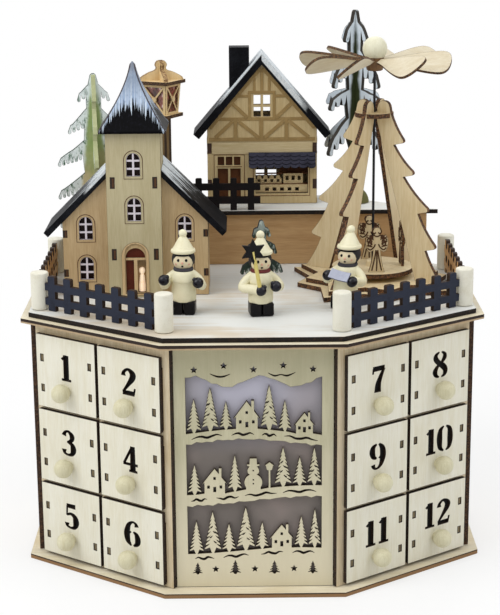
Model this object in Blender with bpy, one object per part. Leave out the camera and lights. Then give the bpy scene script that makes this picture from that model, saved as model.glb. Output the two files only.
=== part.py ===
# Wooden advent calendar: an eight-sided chest with twenty-four numbered drawers in its
# four slanted faces, and a winter village with a turning pyramid on its deck.
# Metres, +Z up. Origin: centre of the base plate, on its underside. The front looks along -Y.

import math

import bmesh
import bpy
from mathutils import Matrix, Vector

MM = 0.001
CLEAR = 0.3 * MM                       # gap between two pieces that touch
BITE = 0.6 * MM                        # how far two shapes of one piece overlap before they are joined

# Chest plan: straight front and back edges, straight sides, and slanted faces between them
PLY = 3 * MM                           # plywood of the chest and the decks
FRONT_EDGE = 115 * MM
SLANT_EDGE = 115 * MM
SLANT_TURN = math.radians(36)          # how far a slanted face turns away from the front
SIDE_EDGE = 122 * MM
WALL_HEIGHT = 160.6 * MM
FRONT_SETBACK = 8 * MM                 # from the base plate's front edge to the line of the front corners
SLANT_SETBACK = 9.7 * MM
SIDE_SETBACK = 5.4 * MM
DECK_SETBACK = 5 * MM                  # upper deck plate, from the lower one
CABLE_HOLE = 9 * MM

# Drawers
ROWS = 3
COLUMNS = 2
DRAWER_FRONT_WIDTH = 50 * MM
DRAWER_FRONT_HEIGHT = 49 * MM
COLUMN_GAP = 2.4 * MM
ROW_GAP = 2.3 * MM
BANK_SHIFT = 1.2 * MM                  # drawers sit this much nearer the side wall than the frame's middle
LOWEST_FRONT = 5.2 * MM                # height of the lowest drawer front above the ground
BOX_WIDTH = 45 * MM
BOX_HEIGHT = 41 * MM
BOX_LENGTH = 60 * MM
BOX_WALL = 3 * MM
SLIDE_PLAY = 0.5 * MM                  # a drawer box in its opening, on each side
RUNNER_WIDTH = 5 * MM
KNOB_DIAMETER = 12.4 * MM
KNOB_RISE = 13.5 * MM                  # above the lower edge of the drawer front
KNOB_SINK = 0.3 * MM                   # how far the knob's ball is let into the drawer front

# Front panel, its backing sheet and the back panel
BACKING = 1 * MM
FRET_WIDTH = 85 * MM
FRET_LOW = 17 * MM                     # above the panel's lower edge
FRET_HIGH = 143 * MM

# Light box in the back panel
LIGHT_BOX_WIDTH = 62 * MM
LIGHT_BOX_HEIGHT = 38 * MM
LIGHT_BOX_DEPTH = 18 * MM
LIGHT_BOX_LIFT = 5 * MM                # above the lower shelf
FLANGE = 4 * MM
FLANGE_THICK = 1.6 * MM
SWITCH_LENGTH = 5 * MM
SWITCH_HEIGHT = 4 * MM
SWITCH_TRAVEL = 4 * MM
SWITCH_DEPTH = 2 * MM

# Terrace at the back of the deck
TERRACE_FRONT = 71.4 * MM              # its front wall, behind the chest's middle
TERRACE_HEIGHT = 36.4 * MM
TERRACE_SETBACK = 5.6 * MM             # its walls, from the base plate's edges
TERRACE_LIP = 2.2 * MM                 # how far the terrace board stands over its walls

# Posts and fences
POST_DIAMETER = 11.7 * MM
POST_HEIGHT = 24.5 * MM
POST_FRONT = (55.2 * MM, 108.4 * MM)   # across and forward of the chest's middle
POST_SIDE = (138.6 * MM, 49.2 * MM)
FENCE_THICK = 3 * MM
FENCE_HEIGHT = 23 * MM
PICKETS = 7
PICKET_WIDTH = 6 * MM
RAIL_HEIGHT = 4.8 * MM
LOW_RAIL = 3.6 * MM
HIGH_RAIL = 13.2 * MM
TERRACE_PICKETS = 6
TERRACE_PICKET_WIDTH = 4.6 * MM
TERRACE_FENCE_PITCH = 12.45 * MM
TERRACE_FENCE_END = 4.5 * MM           # rails past the outer pickets
TERRACE_FENCE_RIGHT = 7.1 * MM         # right end of its rails, across from the middle
TERRACE_RAIL_LIFT = 1.1 * MM           # its rails are this much higher than the other fences' rails

# Half-timbered house on the terrace
HOUSE_ACROSS = 8.8 * MM
HOUSE_WIDTH = 79.6 * MM
HOUSE_DEPTH = 26 * MM
HOUSE_BACK_FROM_FRONT = 23 * MM        # its front wall behind the terrace wall
HOUSE_EAVES = 54.6 * MM
HOUSE_PITCH = math.radians(49.5)
HOUSE_WALL = 3 * MM
HOUSE_ROOF = 5.2 * MM
HOUSE_OVERHANG = 5.9 * MM              # eaves, measured level
HOUSE_VERGE = 3.4 * MM                 # roof in front of and behind the gables
CHIMNEY_WIDTH = 14.6 * MM
CHIMNEY_DEPTH = 14 * MM
CHIMNEY_OFFSET = 16.2 * MM
CHIMNEY_TOP = 113 * MM                 # above the terrace board
DOOR_WIDTH = 17 * MM
DOOR_HEIGHT = 32.8 * MM
DOOR_BAR = 1.8 * MM                    # between its two leaves
DOOR_FROM_SIDE = 7.2 * MM
SHOP_WIDTH = 38 * MM
SHOP_LOW = 7.5 * MM
SHOP_HEIGHT = 20 * MM
AWNING_WIDTH = 50 * MM
AWNING_DROP = 11.5 * MM
AWNING_REACH = 6 * MM
LOFT_PANE = 5 * MM
LOFT_BAR = 1.9 * MM
LOFT_RISE = 64 * MM

# Church on the deck
CHURCH_ACROSS = -77.5 * MM
CHURCH_FRONT = 16.6 * MM               # forward of the chest's middle
CHURCH_WIDTH = 97 * MM
CHURCH_DEPTH = 44 * MM
CHURCH_EAVES = 50 * MM
CHURCH_PITCH = math.radians(45)
CHURCH_WALL = 3 * MM
CHURCH_ROOF = 4 * MM
CHURCH_OVERHANG = 9.6 * MM
CHURCH_VERGE = 3 * MM
TOWER_WIDTH = 36.2 * MM
TOWER_PROUD = 6 * MM
TOWER_HEIGHT = 110.4 * MM
SPIRE_WIDTH = 44.6 * MM
SPIRE_SKIRT = 1.6 * MM
SPIRE_HEIGHT = 43.2 * MM
ARCH_WIDTH = 9 * MM
ARCH_HEIGHT = 15.4 * MM
ARCH_BAR = 1.2 * MM
AISLE_WINDOW = 33 * MM                 # windows each side of the tower, from its middle
AISLE_LOW = 11 * MM
AISLE_HIGH = 38.4 * MM
TOWER_LOW = 52 * MM
TOWER_HIGH = 82 * MM
PORTAL_WIDTH = 12.4 * MM
PORTAL_HEIGHT = 31 * MM

# Street lantern
LANTERN_AT = (-61.5 * MM, 51.4 * MM)
LANTERN_TURN = math.radians(-29.5)
LANTERN_POST = 9.2 * MM
LANTERN_FOOT = 20 * MM
LANTERN_CAGE_LOW = 110.6 * MM          # above the deck
LANTERN_CAGE_HEIGHT = 20.8 * MM
LANTERN_PANE_LOW = 16 * MM
LANTERN_PANE_HIGH = 19 * MM
LANTERN_PLATE = 2.4 * MM
LANTERN_FLOOR_WIDTH = 21.6 * MM
LANTERN_ROOF_WIDTH = 24.6 * MM
LANTERN_BAR = 1.5 * MM
LANTERN_CAP = (
    (15.6, 0.0), (13.0, 3.0), (8.0, 5.6), (4.4, 6.6), (3.2, 8.6), (4.1, 10.4), (3.2, 12.8), (1.2, 13.6),
)

# Fir trees: reach of each bough from the trunk and its drop below the tip, as shares of the height
TREE_PLY = 3 * MM
TREE_TRUNK = 4.6 * MM
TREE_LEFT_AT = (-108.6 * MM, 51 * MM)
TREE_LEFT_HEIGHT = 141.2 * MM
TREE_LEFT_BOUGHS = ((0.080, 0.135), (0.130, 0.294), (0.186, 0.453), (0.188, 0.616), (0.184, 0.765))
TREE_LEFT_DEPTH = 0.62                 # reach of the board that runs from front to back
TREE_LEFT_TURN = math.radians(8)
TREE_LEFT_FOOT = 9 * MM
TREE_RIGHT_AT = (76 * MM, 98.5 * MM)
TREE_RIGHT_HEIGHT = 139.2 * MM
TREE_RIGHT_BOUGHS = ((0.085, 0.154), (0.170, 0.384), (0.195, 0.496), (0.205, 0.729))
TREE_RIGHT_TURN = math.radians(45)
TREE_RIGHT_FOOT = 11 * MM

# Pyramid: star base, four fir-shaped legs, shaft, turntable and vane wheel
PYRAMID_AT = (83.4 * MM, 11.8 * MM)
PYRAMID_TURN = math.radians(10.6)
PYRAMID_PLY = 3 * MM
STAR_LONG = 64 * MM                    # rays under the legs
STAR_SHORT = 53 * MM
STAR_VALLEY = 44 * MM
STAR_STEP = 6 * MM                     # the upper star is this much smaller
LEG_FOOT_OUTER = 53.6 * MM
LEG_FOOT_INNER = 34 * MM
LEG_TOP_INNER = 3 * MM
LEG_HEIGHT = 120.6 * MM
LEG_SHOULDER = 14.2 * MM               # below the leg's top, where the sloping inner edge turns upright
LEG_BOUGHS = ((0.905, 0.206), (0.795, 0.411), (0.578, 0.610), (0.437, 0.784))    # shares of foot and height
BOUGH_NOTCH = (7.6 * MM, 3.2 * MM)     # how far a bough is cut in and down under its tip
TOP_PLATE_RADIUS = 13 * MM
TOP_PLATE_DROP = 11.2 * MM             # its underside below the legs' tops
SHAFT_DIAMETER = 1.8 * MM
BUSH_RADIUS = 4 * MM
BUSH_HEIGHT = 2.6 * MM
TURNTABLE_RADIUS = 28 * MM
TURNTABLE_THICK = 3 * MM
TURNTABLE_RISE = 3.4 * MM              # above the star
COLLAR_RADIUS = 4.5 * MM
COLLAR_HEIGHT = 4 * MM
ANGELS = 4
ANGEL_RADIUS = 20 * MM
ANGEL_HEIGHT = 31 * MM
ANGEL_THICK = 2 * MM
ANGEL_PHASE = math.radians(-97.6)
HUB_RADIUS = 8.3 * MM
HUB_RISE = 154.6 * MM                  # middle of the ball above the star
HUB_NECK_RADIUS = 6 * MM
HUB_NECK_LENGTH = 12 * MM
HUB_BORE = 8 * MM
VANES = 8
VANE_REACH = 51.5 * MM
VANE_ROOT = 4.6 * MM
VANE_ROOT_WIDTH = 4.2 * MM
VANE_SPREAD = math.radians(26)
VANE_THICK = 1.8 * MM
VANE_PITCH = math.radians(33)
VANE_DROP = 8.2 * MM                   # vanes below the middle of the ball
VANE_PHASE = math.radians(-72.6)

# Three figures on the deck
FIGURE_AT = {
    "singer_left": (-44.2 * MM, -62.8 * MM, math.radians(-4), 0.0),
    "singer_middle": (5.3 * MM, -68.6 * MM, math.radians(8), 0.0),
    "singer_right": (60.4 * MM, -53.4 * MM, math.radians(-24), math.radians(5)),
}
BOOT_HEIGHT = 8.6 * MM
BOOT_WIDTH = 15.2 * MM
BOOT_DEPTH = 13 * MM
BOOT_CLEFT = 1 * MM
COAT_RADIUS = 8.2 * MM
COAT_HEIGHT = 20.6 * MM
SHOULDER_RADIUS = 6.4 * MM
HEAD_RADIUS = 6.9 * MM
HAT_RADIUS = 8 * MM
HAT_HEIGHT = 12.4 * MM
BOBBLE_RADIUS = 2.7 * MM
SLEEVE_RADIUS = 3 * MM
MITTEN_RADIUS = 3.5 * MM
ARM_SPREAD = 14 * MM
SMALL_FIR_HEIGHT = 52 * MM             # carried on the back of the middle figure
SMALL_FIR_BOUGHS = ((0.115, 0.231), (0.192, 0.462), (0.262, 0.731))
SMALL_FIR_TRUNK = 3 * MM
SMALL_FIR_THICK = 3 * MM

BASE_TOP = PLY
RUNNER_HEIGHT = 3 * MM
DECK_UNDERSIDE = PLY + CLEAR + WALL_HEIGHT + CLEAR
DECK_TOP = DECK_UNDERSIDE + PLY + CLEAR + PLY
ON_DECK = DECK_TOP + CLEAR
TERRACE_TOP = ON_DECK + TERRACE_HEIGHT + CLEAR + PLY
ON_TERRACE = TERRACE_TOP + CLEAR
CHEST_WIDTH = FRONT_EDGE + 2 * SLANT_EDGE * math.cos(SLANT_TURN)
CHEST_DEPTH = SIDE_EDGE + 2 * SLANT_EDGE * math.sin(SLANT_TURN)
COLUMN_PITCH = DRAWER_FRONT_WIDTH + COLUMN_GAP
ROW_PITCH = DRAWER_FRONT_HEIGHT + ROW_GAP
BOX_FLOOR = BASE_TOP + RUNNER_HEIGHT + CLEAR
LIGHT_BOX_LOW = ROW_PITCH + PLY + LIGHT_BOX_LIFT
PANEL_SETBACK = FRONT_SETBACK + PLY * math.cos(SLANT_TURN) + CLEAR


# Scene and mesh helpers

def clear_scene():
    for item in list(bpy.data.objects):
        bpy.data.objects.remove(item, do_unlink=True)


def make_material(name, colour, roughness, metallic=0.0):
    paint = bpy.data.materials.new(name)
    paint.use_nodes = True
    shader = paint.node_tree.nodes["Principled BSDF"]
    shader.inputs["Base Color"].default_value = (*colour, 1.0)
    shader.inputs["Roughness"].default_value = roughness
    shader.inputs["Metallic"].default_value = metallic
    return paint


def mesh_of(bm, name="shape"):
    mesh = bpy.data.meshes.new(name)
    bm.to_mesh(mesh)
    bm.free()
    return mesh


def joined(shapes):
    # Several bmeshes as one, still separate bodies
    whole = bmesh.new()
    for shape in shapes:
        mesh = mesh_of(shape)
        whole.from_mesh(mesh)
        bpy.data.meshes.remove(mesh)
    return whole


def combined(base, add=(), cut=()):
    # Boolean unions, then cuts, worked out once and returned as a bmesh
    def helper(shape):
        item = bpy.data.objects.new("helper", mesh_of(shape))
        bpy.context.scene.collection.objects.link(item)
        item.hide_render = True
        item.display_type = "WIRE"
        return item

    body = helper(base)
    tools = []
    for operation, shapes in (("UNION", add), ("DIFFERENCE", cut)):
        for shape in shapes:
            tool = helper(shape)
            step = body.modifiers.new("join", "BOOLEAN")
            step.operation = operation
            step.solver = "EXACT"
            step.object = tool
            tools.append(tool)
    bpy.context.view_layer.update()
    graph = bpy.context.evaluated_depsgraph_get()
    result = bpy.data.meshes.new_from_object(body.evaluated_get(graph))
    for item in [body] + tools:
        spare = item.data
        bpy.data.objects.remove(item, do_unlink=True)
        bpy.data.meshes.remove(spare)
    bm = bmesh.new()
    bm.from_mesh(result)
    bpy.data.meshes.remove(result)
    bmesh.ops.remove_doubles(bm, verts=bm.verts, dist=0.004 * MM)
    bmesh.ops.dissolve_degenerate(bm, edges=bm.edges, dist=0.004 * MM)
    return bm


def moved(bm, across=0.0, back=0.0, up=0.0, turn=0.0, tilt=0.0):
    # Tilted about X, then turned about Z, then moved
    place = Matrix.Translation((across, back, up)) @ Matrix.Rotation(turn, 4, "Z")
    place = place @ Matrix.Rotation(tilt, 4, "X")
    bmesh.ops.transform(bm, matrix=place, verts=bm.verts)
    return bm


def block(width, depth, height, across=0.0, back=0.0, low=0.0):
    bm = bmesh.new()
    place = Matrix.Translation((across, back, low + height / 2)) @ Matrix.Diagonal((width, depth, height, 1))
    bmesh.ops.create_cube(bm, size=1.0, matrix=place)
    return bm


def rod(radius, height, sides=16, low=0.0, across=0.0, back=0.0, top_radius=None):
    bm = bmesh.new()
    end = radius if top_radius is None else top_radius
    bmesh.ops.create_cone(bm, cap_ends=True, segments=sides, radius1=radius, radius2=end, depth=height,
                          matrix=Matrix.Translation((across, back, low + height / 2)))
    return bm


def ball(radius, centre, around=14, rings=8):
    bm = bmesh.new()
    bmesh.ops.create_uvsphere(bm, u_segments=around, v_segments=rings, radius=radius,
                              matrix=Matrix.Translation(centre))
    return bm


def extruded(outline, low, high):
    # A flat outline of (across, back) points, drawn up from low to high
    bm = bmesh.new()
    rim = [bm.verts.new((x, y, low)) for x, y in outline]
    bm.faces.new(rim)
    grown = bmesh.ops.extrude_face_region(bm, geom=list(bm.faces))
    top = [item for item in grown["geom"] if isinstance(item, bmesh.types.BMVert)]
    bmesh.ops.translate(bm, verts=top, vec=(0, 0, high - low))
    bmesh.ops.recalc_face_normals(bm, faces=bm.faces)
    return bm


def upright(outline, front, back):
    # An outline of (across, up) points, extruded from front to back
    bm = extruded(outline, -back, -front)
    bmesh.ops.transform(bm, matrix=Matrix.Rotation(math.radians(90), 4, "X"), verts=bm.verts)
    return bm


def turned(profile, sides=16):
    # A profile of (radius, height) points, from the axis and back to it, spun about Z
    bm = bmesh.new()
    line = [bm.verts.new((radius, 0, height)) for radius, height in profile]
    edges = [bm.edges.new(pair) for pair in zip(line, line[1:])]
    bmesh.ops.spin(bm, geom=line + edges, cent=(0, 0, 0), axis=(0, 0, 1), angle=2 * math.pi,
                   steps=sides, use_merge=True)
    bmesh.ops.remove_doubles(bm, verts=bm.verts, dist=0.005 * MM)
    bmesh.ops.recalc_face_normals(bm, faces=bm.faces)
    return bm


def arc(radius, start, end, steps, centre=(0.0, 0.0)):
    points = []
    for step in range(steps + 1):
        angle = start + (end - start) * step / steps
        points.append((centre[0] + radius * math.cos(angle), centre[1] + radius * math.sin(angle)))
    return points


def arch(width, height, low, middle=0.0, steps=6):
    # Round-headed opening, (across, up)
    half = width / 2
    head = arc(half, 0, math.pi, steps, (middle, low + height - half))
    return [(middle - half, low), (middle + half, low)] + head


def rectangle(width, height, low, middle=0.0):
    half = width / 2
    high = low + height
    return [(middle - half, low), (middle + half, low), (middle + half, high), (middle - half, high)]


def add_piece(name, bm, colour, roughness=0.6, metallic=0.0, at=(0, 0, 0), turn=0.0, smooth=None):
    mesh = mesh_of(bm, name)
    if smooth is not None:
        mesh.shade_smooth()
        mesh.set_sharp_from_angle(angle=math.radians(smooth))
    return add_copy(name, mesh, make_material(name, colour, roughness, metallic), at, turn)


def add_copy(name, mesh, paint, at=(0, 0, 0), turn=0.0):
    piece = bpy.data.objects.new(name, mesh)
    bpy.context.scene.collection.objects.link(piece)
    if not mesh.materials:
        mesh.materials.append(None)
    piece.material_slots[0].link = "OBJECT"
    piece.material_slots[0].material = paint
    piece.location = at
    piece.rotation_euler = (0, 0, turn)
    return piece


# Plan of the chest: each edge is the direction of its outward normal and its distance from the middle

def slant_distance():
    return CHEST_DEPTH / 2 * math.cos(SLANT_TURN) + FRONT_EDGE / 2 * math.sin(SLANT_TURN)


def chest_edges(front, slant, side):
    quarter = math.pi / 2
    far_front = CHEST_DEPTH / 2 - front
    far_slant = slant_distance() - slant
    far_side = CHEST_WIDTH / 2 - side
    return [
        (-quarter, far_front),
        (-quarter + SLANT_TURN, far_slant),
        (0.0, far_side),
        (quarter - SLANT_TURN, far_slant),
        (quarter, far_front),
        (quarter + SLANT_TURN, far_slant),
        (2 * quarter, far_side),
        (-quarter - SLANT_TURN, far_slant),
    ]


def crossing(first, second):
    # Where two edges meet
    a, reach_a = first
    b, reach_b = second
    spread = math.cos(a) * math.sin(b) - math.sin(a) * math.cos(b)
    x = (reach_a * math.sin(b) - reach_b * math.sin(a)) / spread
    y = (reach_b * math.cos(a) - reach_a * math.cos(b)) / spread
    return (x, y)


def corners(edges):
    return [crossing(edges[i - 1], edges[i]) for i in range(len(edges))]


def chest_outline(front, slant=None, side=None):
    slant = front if slant is None else slant
    side = front if side is None else side
    return corners(chest_edges(front, slant, side))


def face_frame_ends():
    # Ends of the front right face frame's outer face, at the front corner and at the side wall
    edges = chest_edges(FRONT_SETBACK, SLANT_SETBACK, SIDE_SETBACK)
    wall_line = (0.0, CHEST_WIDTH / 2 - SIDE_SETBACK - PLY - CLEAR)
    return Vector(crossing(edges[0], edges[1])), Vector(crossing(edges[1], wall_line))


def bank_places():
    # Name, middle of the outer face, turn, and which way along the face the side wall lies
    near, far = face_frame_ends()
    middle = (near + far) / 2
    length = (far - near).length
    places = []
    for name, turn, mirror_x, mirror_y in (
        ("front_left", -SLANT_TURN, -1, 1),
        ("front_right", SLANT_TURN, 1, 1),
        ("back_right", math.pi - SLANT_TURN, 1, -1),
        ("back_left", math.pi + SLANT_TURN, -1, -1),
    ):
        towards_side = mirror_x * mirror_y
        places.append((name, (middle.x * mirror_x, middle.y * mirror_y), turn, towards_side, length))
    return places


def column_offset(column, towards_side):
    return (column - (COLUMNS - 1) / 2) * COLUMN_PITCH + BANK_SHIFT * towards_side


def box_bottom(row):
    # Row 0 is the top row
    return BOX_FLOOR + (ROWS - 1 - row) * ROW_PITCH


# Chest

def runners(level):
    # Pairs of strips under the drawer boxes of one storey
    strips = []
    length = BOX_LENGTH - PLY
    for _, middle, turn, towards_side, _ in bank_places():
        for column in range(COLUMNS):
            for hand in (-1, 1):
                across = column_offset(column, towards_side) + hand * (BOX_WIDTH - RUNNER_WIDTH) / 2
                strip = block(RUNNER_WIDTH, length - PLY, RUNNER_HEIGHT + BITE, across,
                              PLY + 2 * CLEAR + length / 2, level - BITE)
                strips.append(moved(strip, middle[0], middle[1], 0, turn))
    return joined(strips)


def base_plate():
    plate = extruded(chest_outline(0.0), 0.0, PLY)
    return combined(plate, add=[runners(PLY)])


def shelf(level):
    inside = PLY + CLEAR
    front = PANEL_SETBACK + inside + BACKING + CLEAR
    outline = chest_outline(front, SLANT_SETBACK + inside, SIDE_SETBACK + inside)
    plate = extruded(outline, level, level + PLY)
    hole = rod(CABLE_HOLE, PLY * 3, 20, level - PLY)
    return combined(plate, add=[runners(level + PLY)], cut=[hole])


def deck_plate(setback, level):
    plate = extruded(chest_outline(setback), level, level + PLY)
    hole = rod(CABLE_HOLE / 3, PLY * 3, 12, level - PLY, CHURCH_ACROSS, 0.0)
    return combined(plate, cut=[hole])


def side_wall(hand):
    ends = chest_outline(FRONT_SETBACK, SLANT_SETBACK, SIDE_SETBACK)
    length = 2 * abs(ends[3][1])
    across = hand * (CHEST_WIDTH / 2 - SIDE_SETBACK - PLY / 2)
    return block(PLY, length, WALL_HEIGHT, across, 0.0, PLY + CLEAR)


def face_frame(length, towards_side):
    sheet = block(length, PLY, WALL_HEIGHT, 0.0, PLY / 2, PLY + CLEAR)
    holes = []
    for row in range(ROWS):
        low = box_bottom(row) - CLEAR
        for column in range(COLUMNS):
            holes.append(block(BOX_WIDTH + 2 * SLIDE_PLAY, PLY * 3, BOX_HEIGHT + CLEAR + SLIDE_PLAY,
                               column_offset(column, towards_side), PLY / 2, low))
    return combined(sheet, cut=[joined(holes)])


def panel_width():
    near, _ = face_frame_ends()
    return 2 * (near.x - PLY * math.sin(SLANT_TURN) - CLEAR)


def fir_edge(tip, width, height, tiers, ground):
    # Left-to-right outline of a fir standing on the ground line, three points a side for each tier
    left = []
    for tier in range(tiers):
        share = (tier + 1) / tiers
        level = ground + height * (1 - 0.9 * share)
        reach = width / 2 * (0.25 + 0.75 * share)
        left.append((tip - reach, level))
        left.append((tip - reach * 0.45, level + height * 0.03))
    left.append((tip - width * 0.08, ground))
    right = [(2 * tip - x, y) for x, y in left]
    return list(reversed(left)) + [(tip, ground + height)] + right


def cottage_edge(middle, width, wall, peak, ground):
    half = width / 2
    eave = half * 1.2
    drop = (peak - wall) * (eave / half - 1)
    left = [(middle - half, ground), (middle - half, ground + wall - drop * 0.4),
            (middle - eave, ground + wall - drop)]
    right = [(2 * middle - x, y) for x, y in reversed(left)]
    return left + [(middle, ground + peak)] + right


def snowman_edge(middle, size, ground):
    lower = arc(size * 0.52, math.radians(215), math.radians(62), 7, (middle, ground + size * 0.42))
    upper = arc(size * 0.34, math.radians(190), math.radians(112), 3, (middle, ground + size * 1.12))
    hat = [(middle - size * 0.34, ground + size * 1.46), (middle - size * 0.22, ground + size * 1.48),
           (middle - size * 0.22, ground + size * 1.86)]
    left = [point for point in lower if point[0] <= middle - size * 0.2] + upper + hat
    right = [(2 * middle - x, y) for x, y in reversed(left)]
    return left + right


def ground_line(level, swell, waves, phase):
    # Height of a snowy hill at a place across the panel
    def height(x):
        return level + swell * math.sin(waves * math.pi * x / FRET_WIDTH + phase)
    return height


def fret_opening(hill, motifs, sky, steps=8):
    # Closed outline: along the skyline from left to right, and back under the hill above
    half = FRET_WIDTH / 2
    lower = [(-half, hill(-half))]
    for make, place, details in motifs:
        lower += make(place, *details, hill(place))
    lower.append((half, hill(half)))
    places = [half - FRET_WIDTH * step / steps for step in range(steps + 1)]
    return lower + [(place, sky(place)) for place in places]


def star_outline(across, up, radius, points=5):
    outline = []
    for step in range(points * 2):
        reach = radius if step % 2 == 0 else radius * 0.45
        angle = math.pi / 2 + math.pi * step / points
        outline.append((across + reach * math.cos(angle), up + reach * math.sin(angle)))
    return outline


def fret_cuts():
    # Three bands of winter forest, one above the other, and small stars over them
    span = FRET_HIGH - FRET_LOW
    low_hill = ground_line(FRET_LOW + span * 0.05, 2 * MM, 1.2, 0.4)
    low_sky = ground_line(FRET_LOW + span * 0.31, 3 * MM, 1.0, 0.2)
    middle_hill = ground_line(FRET_LOW + span * 0.38, 3 * MM, 1.0, 0.2)
    middle_sky = ground_line(FRET_LOW + span * 0.62, 2.5 * MM, 1.4, 1.9)
    high_hill = ground_line(FRET_LOW + span * 0.68, 2.5 * MM, 1.4, 1.9)
    high_sky = ground_line(FRET_LOW + span * 0.93, 3.5 * MM, 4.0, 0.9)
    bands = [
        (low_hill, low_sky, [
            (fir_edge, -33 * MM, (11 * MM, 22 * MM, 3)), (fir_edge, -19 * MM, (9 * MM, 16 * MM, 3)),
            (cottage_edge, -3 * MM, (14 * MM, 7 * MM, 14 * MM)), (fir_edge, 13 * MM, (10 * MM, 20 * MM, 3)),
            (fir_edge, 24 * MM, (8 * MM, 14 * MM, 3)), (fir_edge, 34 * MM, (10 * MM, 21 * MM, 3))]),
        (middle_hill, middle_sky, [
            (fir_edge, -34 * MM, (9 * MM, 17 * MM, 3)), (cottage_edge, -19 * MM, (12 * MM, 6 * MM, 12 * MM)),
            (snowman_edge, 4 * MM, (10 * MM,)), (fir_edge, 21 * MM, (9 * MM, 18 * MM, 3)),
            (fir_edge, 33 * MM, (11 * MM, 22 * MM, 3))]),
        (high_hill, high_sky, [
            (fir_edge, -33 * MM, (10 * MM, 21 * MM, 3)), (fir_edge, -21 * MM, (8 * MM, 14 * MM, 3)),
            (fir_edge, -6 * MM, (12 * MM, 24 * MM, 3)), (cottage_edge, 11 * MM, (13 * MM, 7 * MM, 14 * MM)),
            (fir_edge, 30 * MM, (11 * MM, 19 * MM, 3))]),
    ]
    cuts = [fret_opening(hill, motifs, sky) for hill, sky, motifs in bands]
    stars = []
    for step in range(5):
        across = FRET_WIDTH * (step - 2) / 4.6
        rise = FRET_HIGH + (4.5 if step % 2 else 2.0) * MM
        stars.append(star_outline(across, rise, 2.2 * MM))
    for step in range(3):
        stars.append(star_outline(FRET_WIDTH * (step - 1) / 3.4, FRET_LOW - 5 * MM, 2.2 * MM))
    return cuts + stars


def front_panel():
    front = -CHEST_DEPTH / 2 + PANEL_SETBACK
    low = PLY + CLEAR
    sheet = block(panel_width(), PLY, WALL_HEIGHT, 0.0, front + PLY / 2, low)
    holes = [moved(upright(outline, front - PLY, front + 2 * PLY), 0, 0, low) for outline in fret_cuts()]
    return combined(sheet, cut=[joined(holes)])


def backing_sheet():
    front = -CHEST_DEPTH / 2 + PANEL_SETBACK + PLY + CLEAR
    return block(FRET_WIDTH + 4 * PLY, BACKING, WALL_HEIGHT - 4 * PLY, 0.0, front + BACKING / 2, 3 * PLY)


def back_panel():
    back = CHEST_DEPTH / 2 - PANEL_SETBACK
    sheet = block(panel_width(), PLY, WALL_HEIGHT, 0.0, back - PLY / 2, PLY + CLEAR)
    window = block(LIGHT_BOX_WIDTH + 2 * CLEAR, 3 * PLY, LIGHT_BOX_HEIGHT + 2 * CLEAR, 0.0, back - PLY / 2,
                   LIGHT_BOX_LOW - CLEAR)
    return combined(sheet, cut=[window])


def light_box():
    # Battery case set into the back panel, with a flange outside and a slot for the switch
    back = CHEST_DEPTH / 2 - PANEL_SETBACK
    case = block(LIGHT_BOX_WIDTH, LIGHT_BOX_DEPTH, LIGHT_BOX_HEIGHT, 0.0,
                 back - LIGHT_BOX_DEPTH / 2 + CLEAR + BITE, LIGHT_BOX_LOW)
    rim = block(LIGHT_BOX_WIDTH + 2 * FLANGE, FLANGE_THICK, LIGHT_BOX_HEIGHT + 2 * FLANGE, 0.0,
                back + CLEAR + FLANGE_THICK / 2, LIGHT_BOX_LOW - FLANGE)
    slot = block(SWITCH_LENGTH + SWITCH_TRAVEL + 2 * CLEAR, SWITCH_DEPTH * 2, SWITCH_HEIGHT + 2 * CLEAR, 0.0,
                 switch_face(), switch_rise() - CLEAR)
    return combined(case, add=[rim], cut=[slot])


def switch_face():
    return CHEST_DEPTH / 2 - PANEL_SETBACK + CLEAR + FLANGE_THICK


def switch_rise():
    return LIGHT_BOX_LOW + LIGHT_BOX_HEIGHT - SWITCH_HEIGHT * 2


def build_chest():
    ply = (0.73, 0.66, 0.51)
    add_piece("base_plate", base_plate(), ply, 0.62)
    add_piece("shelf_lower", shelf(ROW_PITCH), ply, 0.65)
    add_piece("shelf_upper", shelf(2 * ROW_PITCH), ply, 0.65)
    add_piece("deck_lower", deck_plate(0.0, DECK_UNDERSIDE), ply, 0.62)
    add_piece("deck_upper", deck_plate(DECK_SETBACK, DECK_UNDERSIDE + PLY + CLEAR), (0.86, 0.86, 0.84), 0.8)
    add_piece("side_wall_left", side_wall(-1), ply, 0.62)
    add_piece("side_wall_right", side_wall(1), ply, 0.62)
    add_piece("front_panel", front_panel(), ply, 0.6)
    add_piece("light_diffuser", backing_sheet(), (0.42, 0.38, 0.40), 0.7)
    add_piece("back_panel", back_panel(), ply, 0.6)
    add_piece("battery_box", light_box(), (0.05, 0.05, 0.055), 0.45)
    for name, middle, turn, towards_side, length in bank_places():
        frame = face_frame(length, towards_side)
        add_piece("face_frame_" + name, frame, ply, 0.62, at=(*middle, 0), turn=turn)
    slider = block(SWITCH_LENGTH, SWITCH_DEPTH, SWITCH_HEIGHT, 0.0, 0.0, -SWITCH_HEIGHT / 2)
    grip = block(SWITCH_LENGTH / 3, SWITCH_DEPTH, SWITCH_HEIGHT, 0.0, SWITCH_DEPTH / 2, -SWITCH_HEIGHT / 2)
    bmesh.ops.scale(grip, vec=(1, 1, 0.8), verts=grip.verts)
    at = (-SWITCH_TRAVEL / 2, switch_face() - SWITCH_DEPTH / 2 + CLEAR, switch_rise() + SWITCH_HEIGHT / 2)
    add_piece("switch_slider", combined(slider, add=[grip]), (0.03, 0.03, 0.03), 0.4, at=at)


# Drawers

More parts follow.
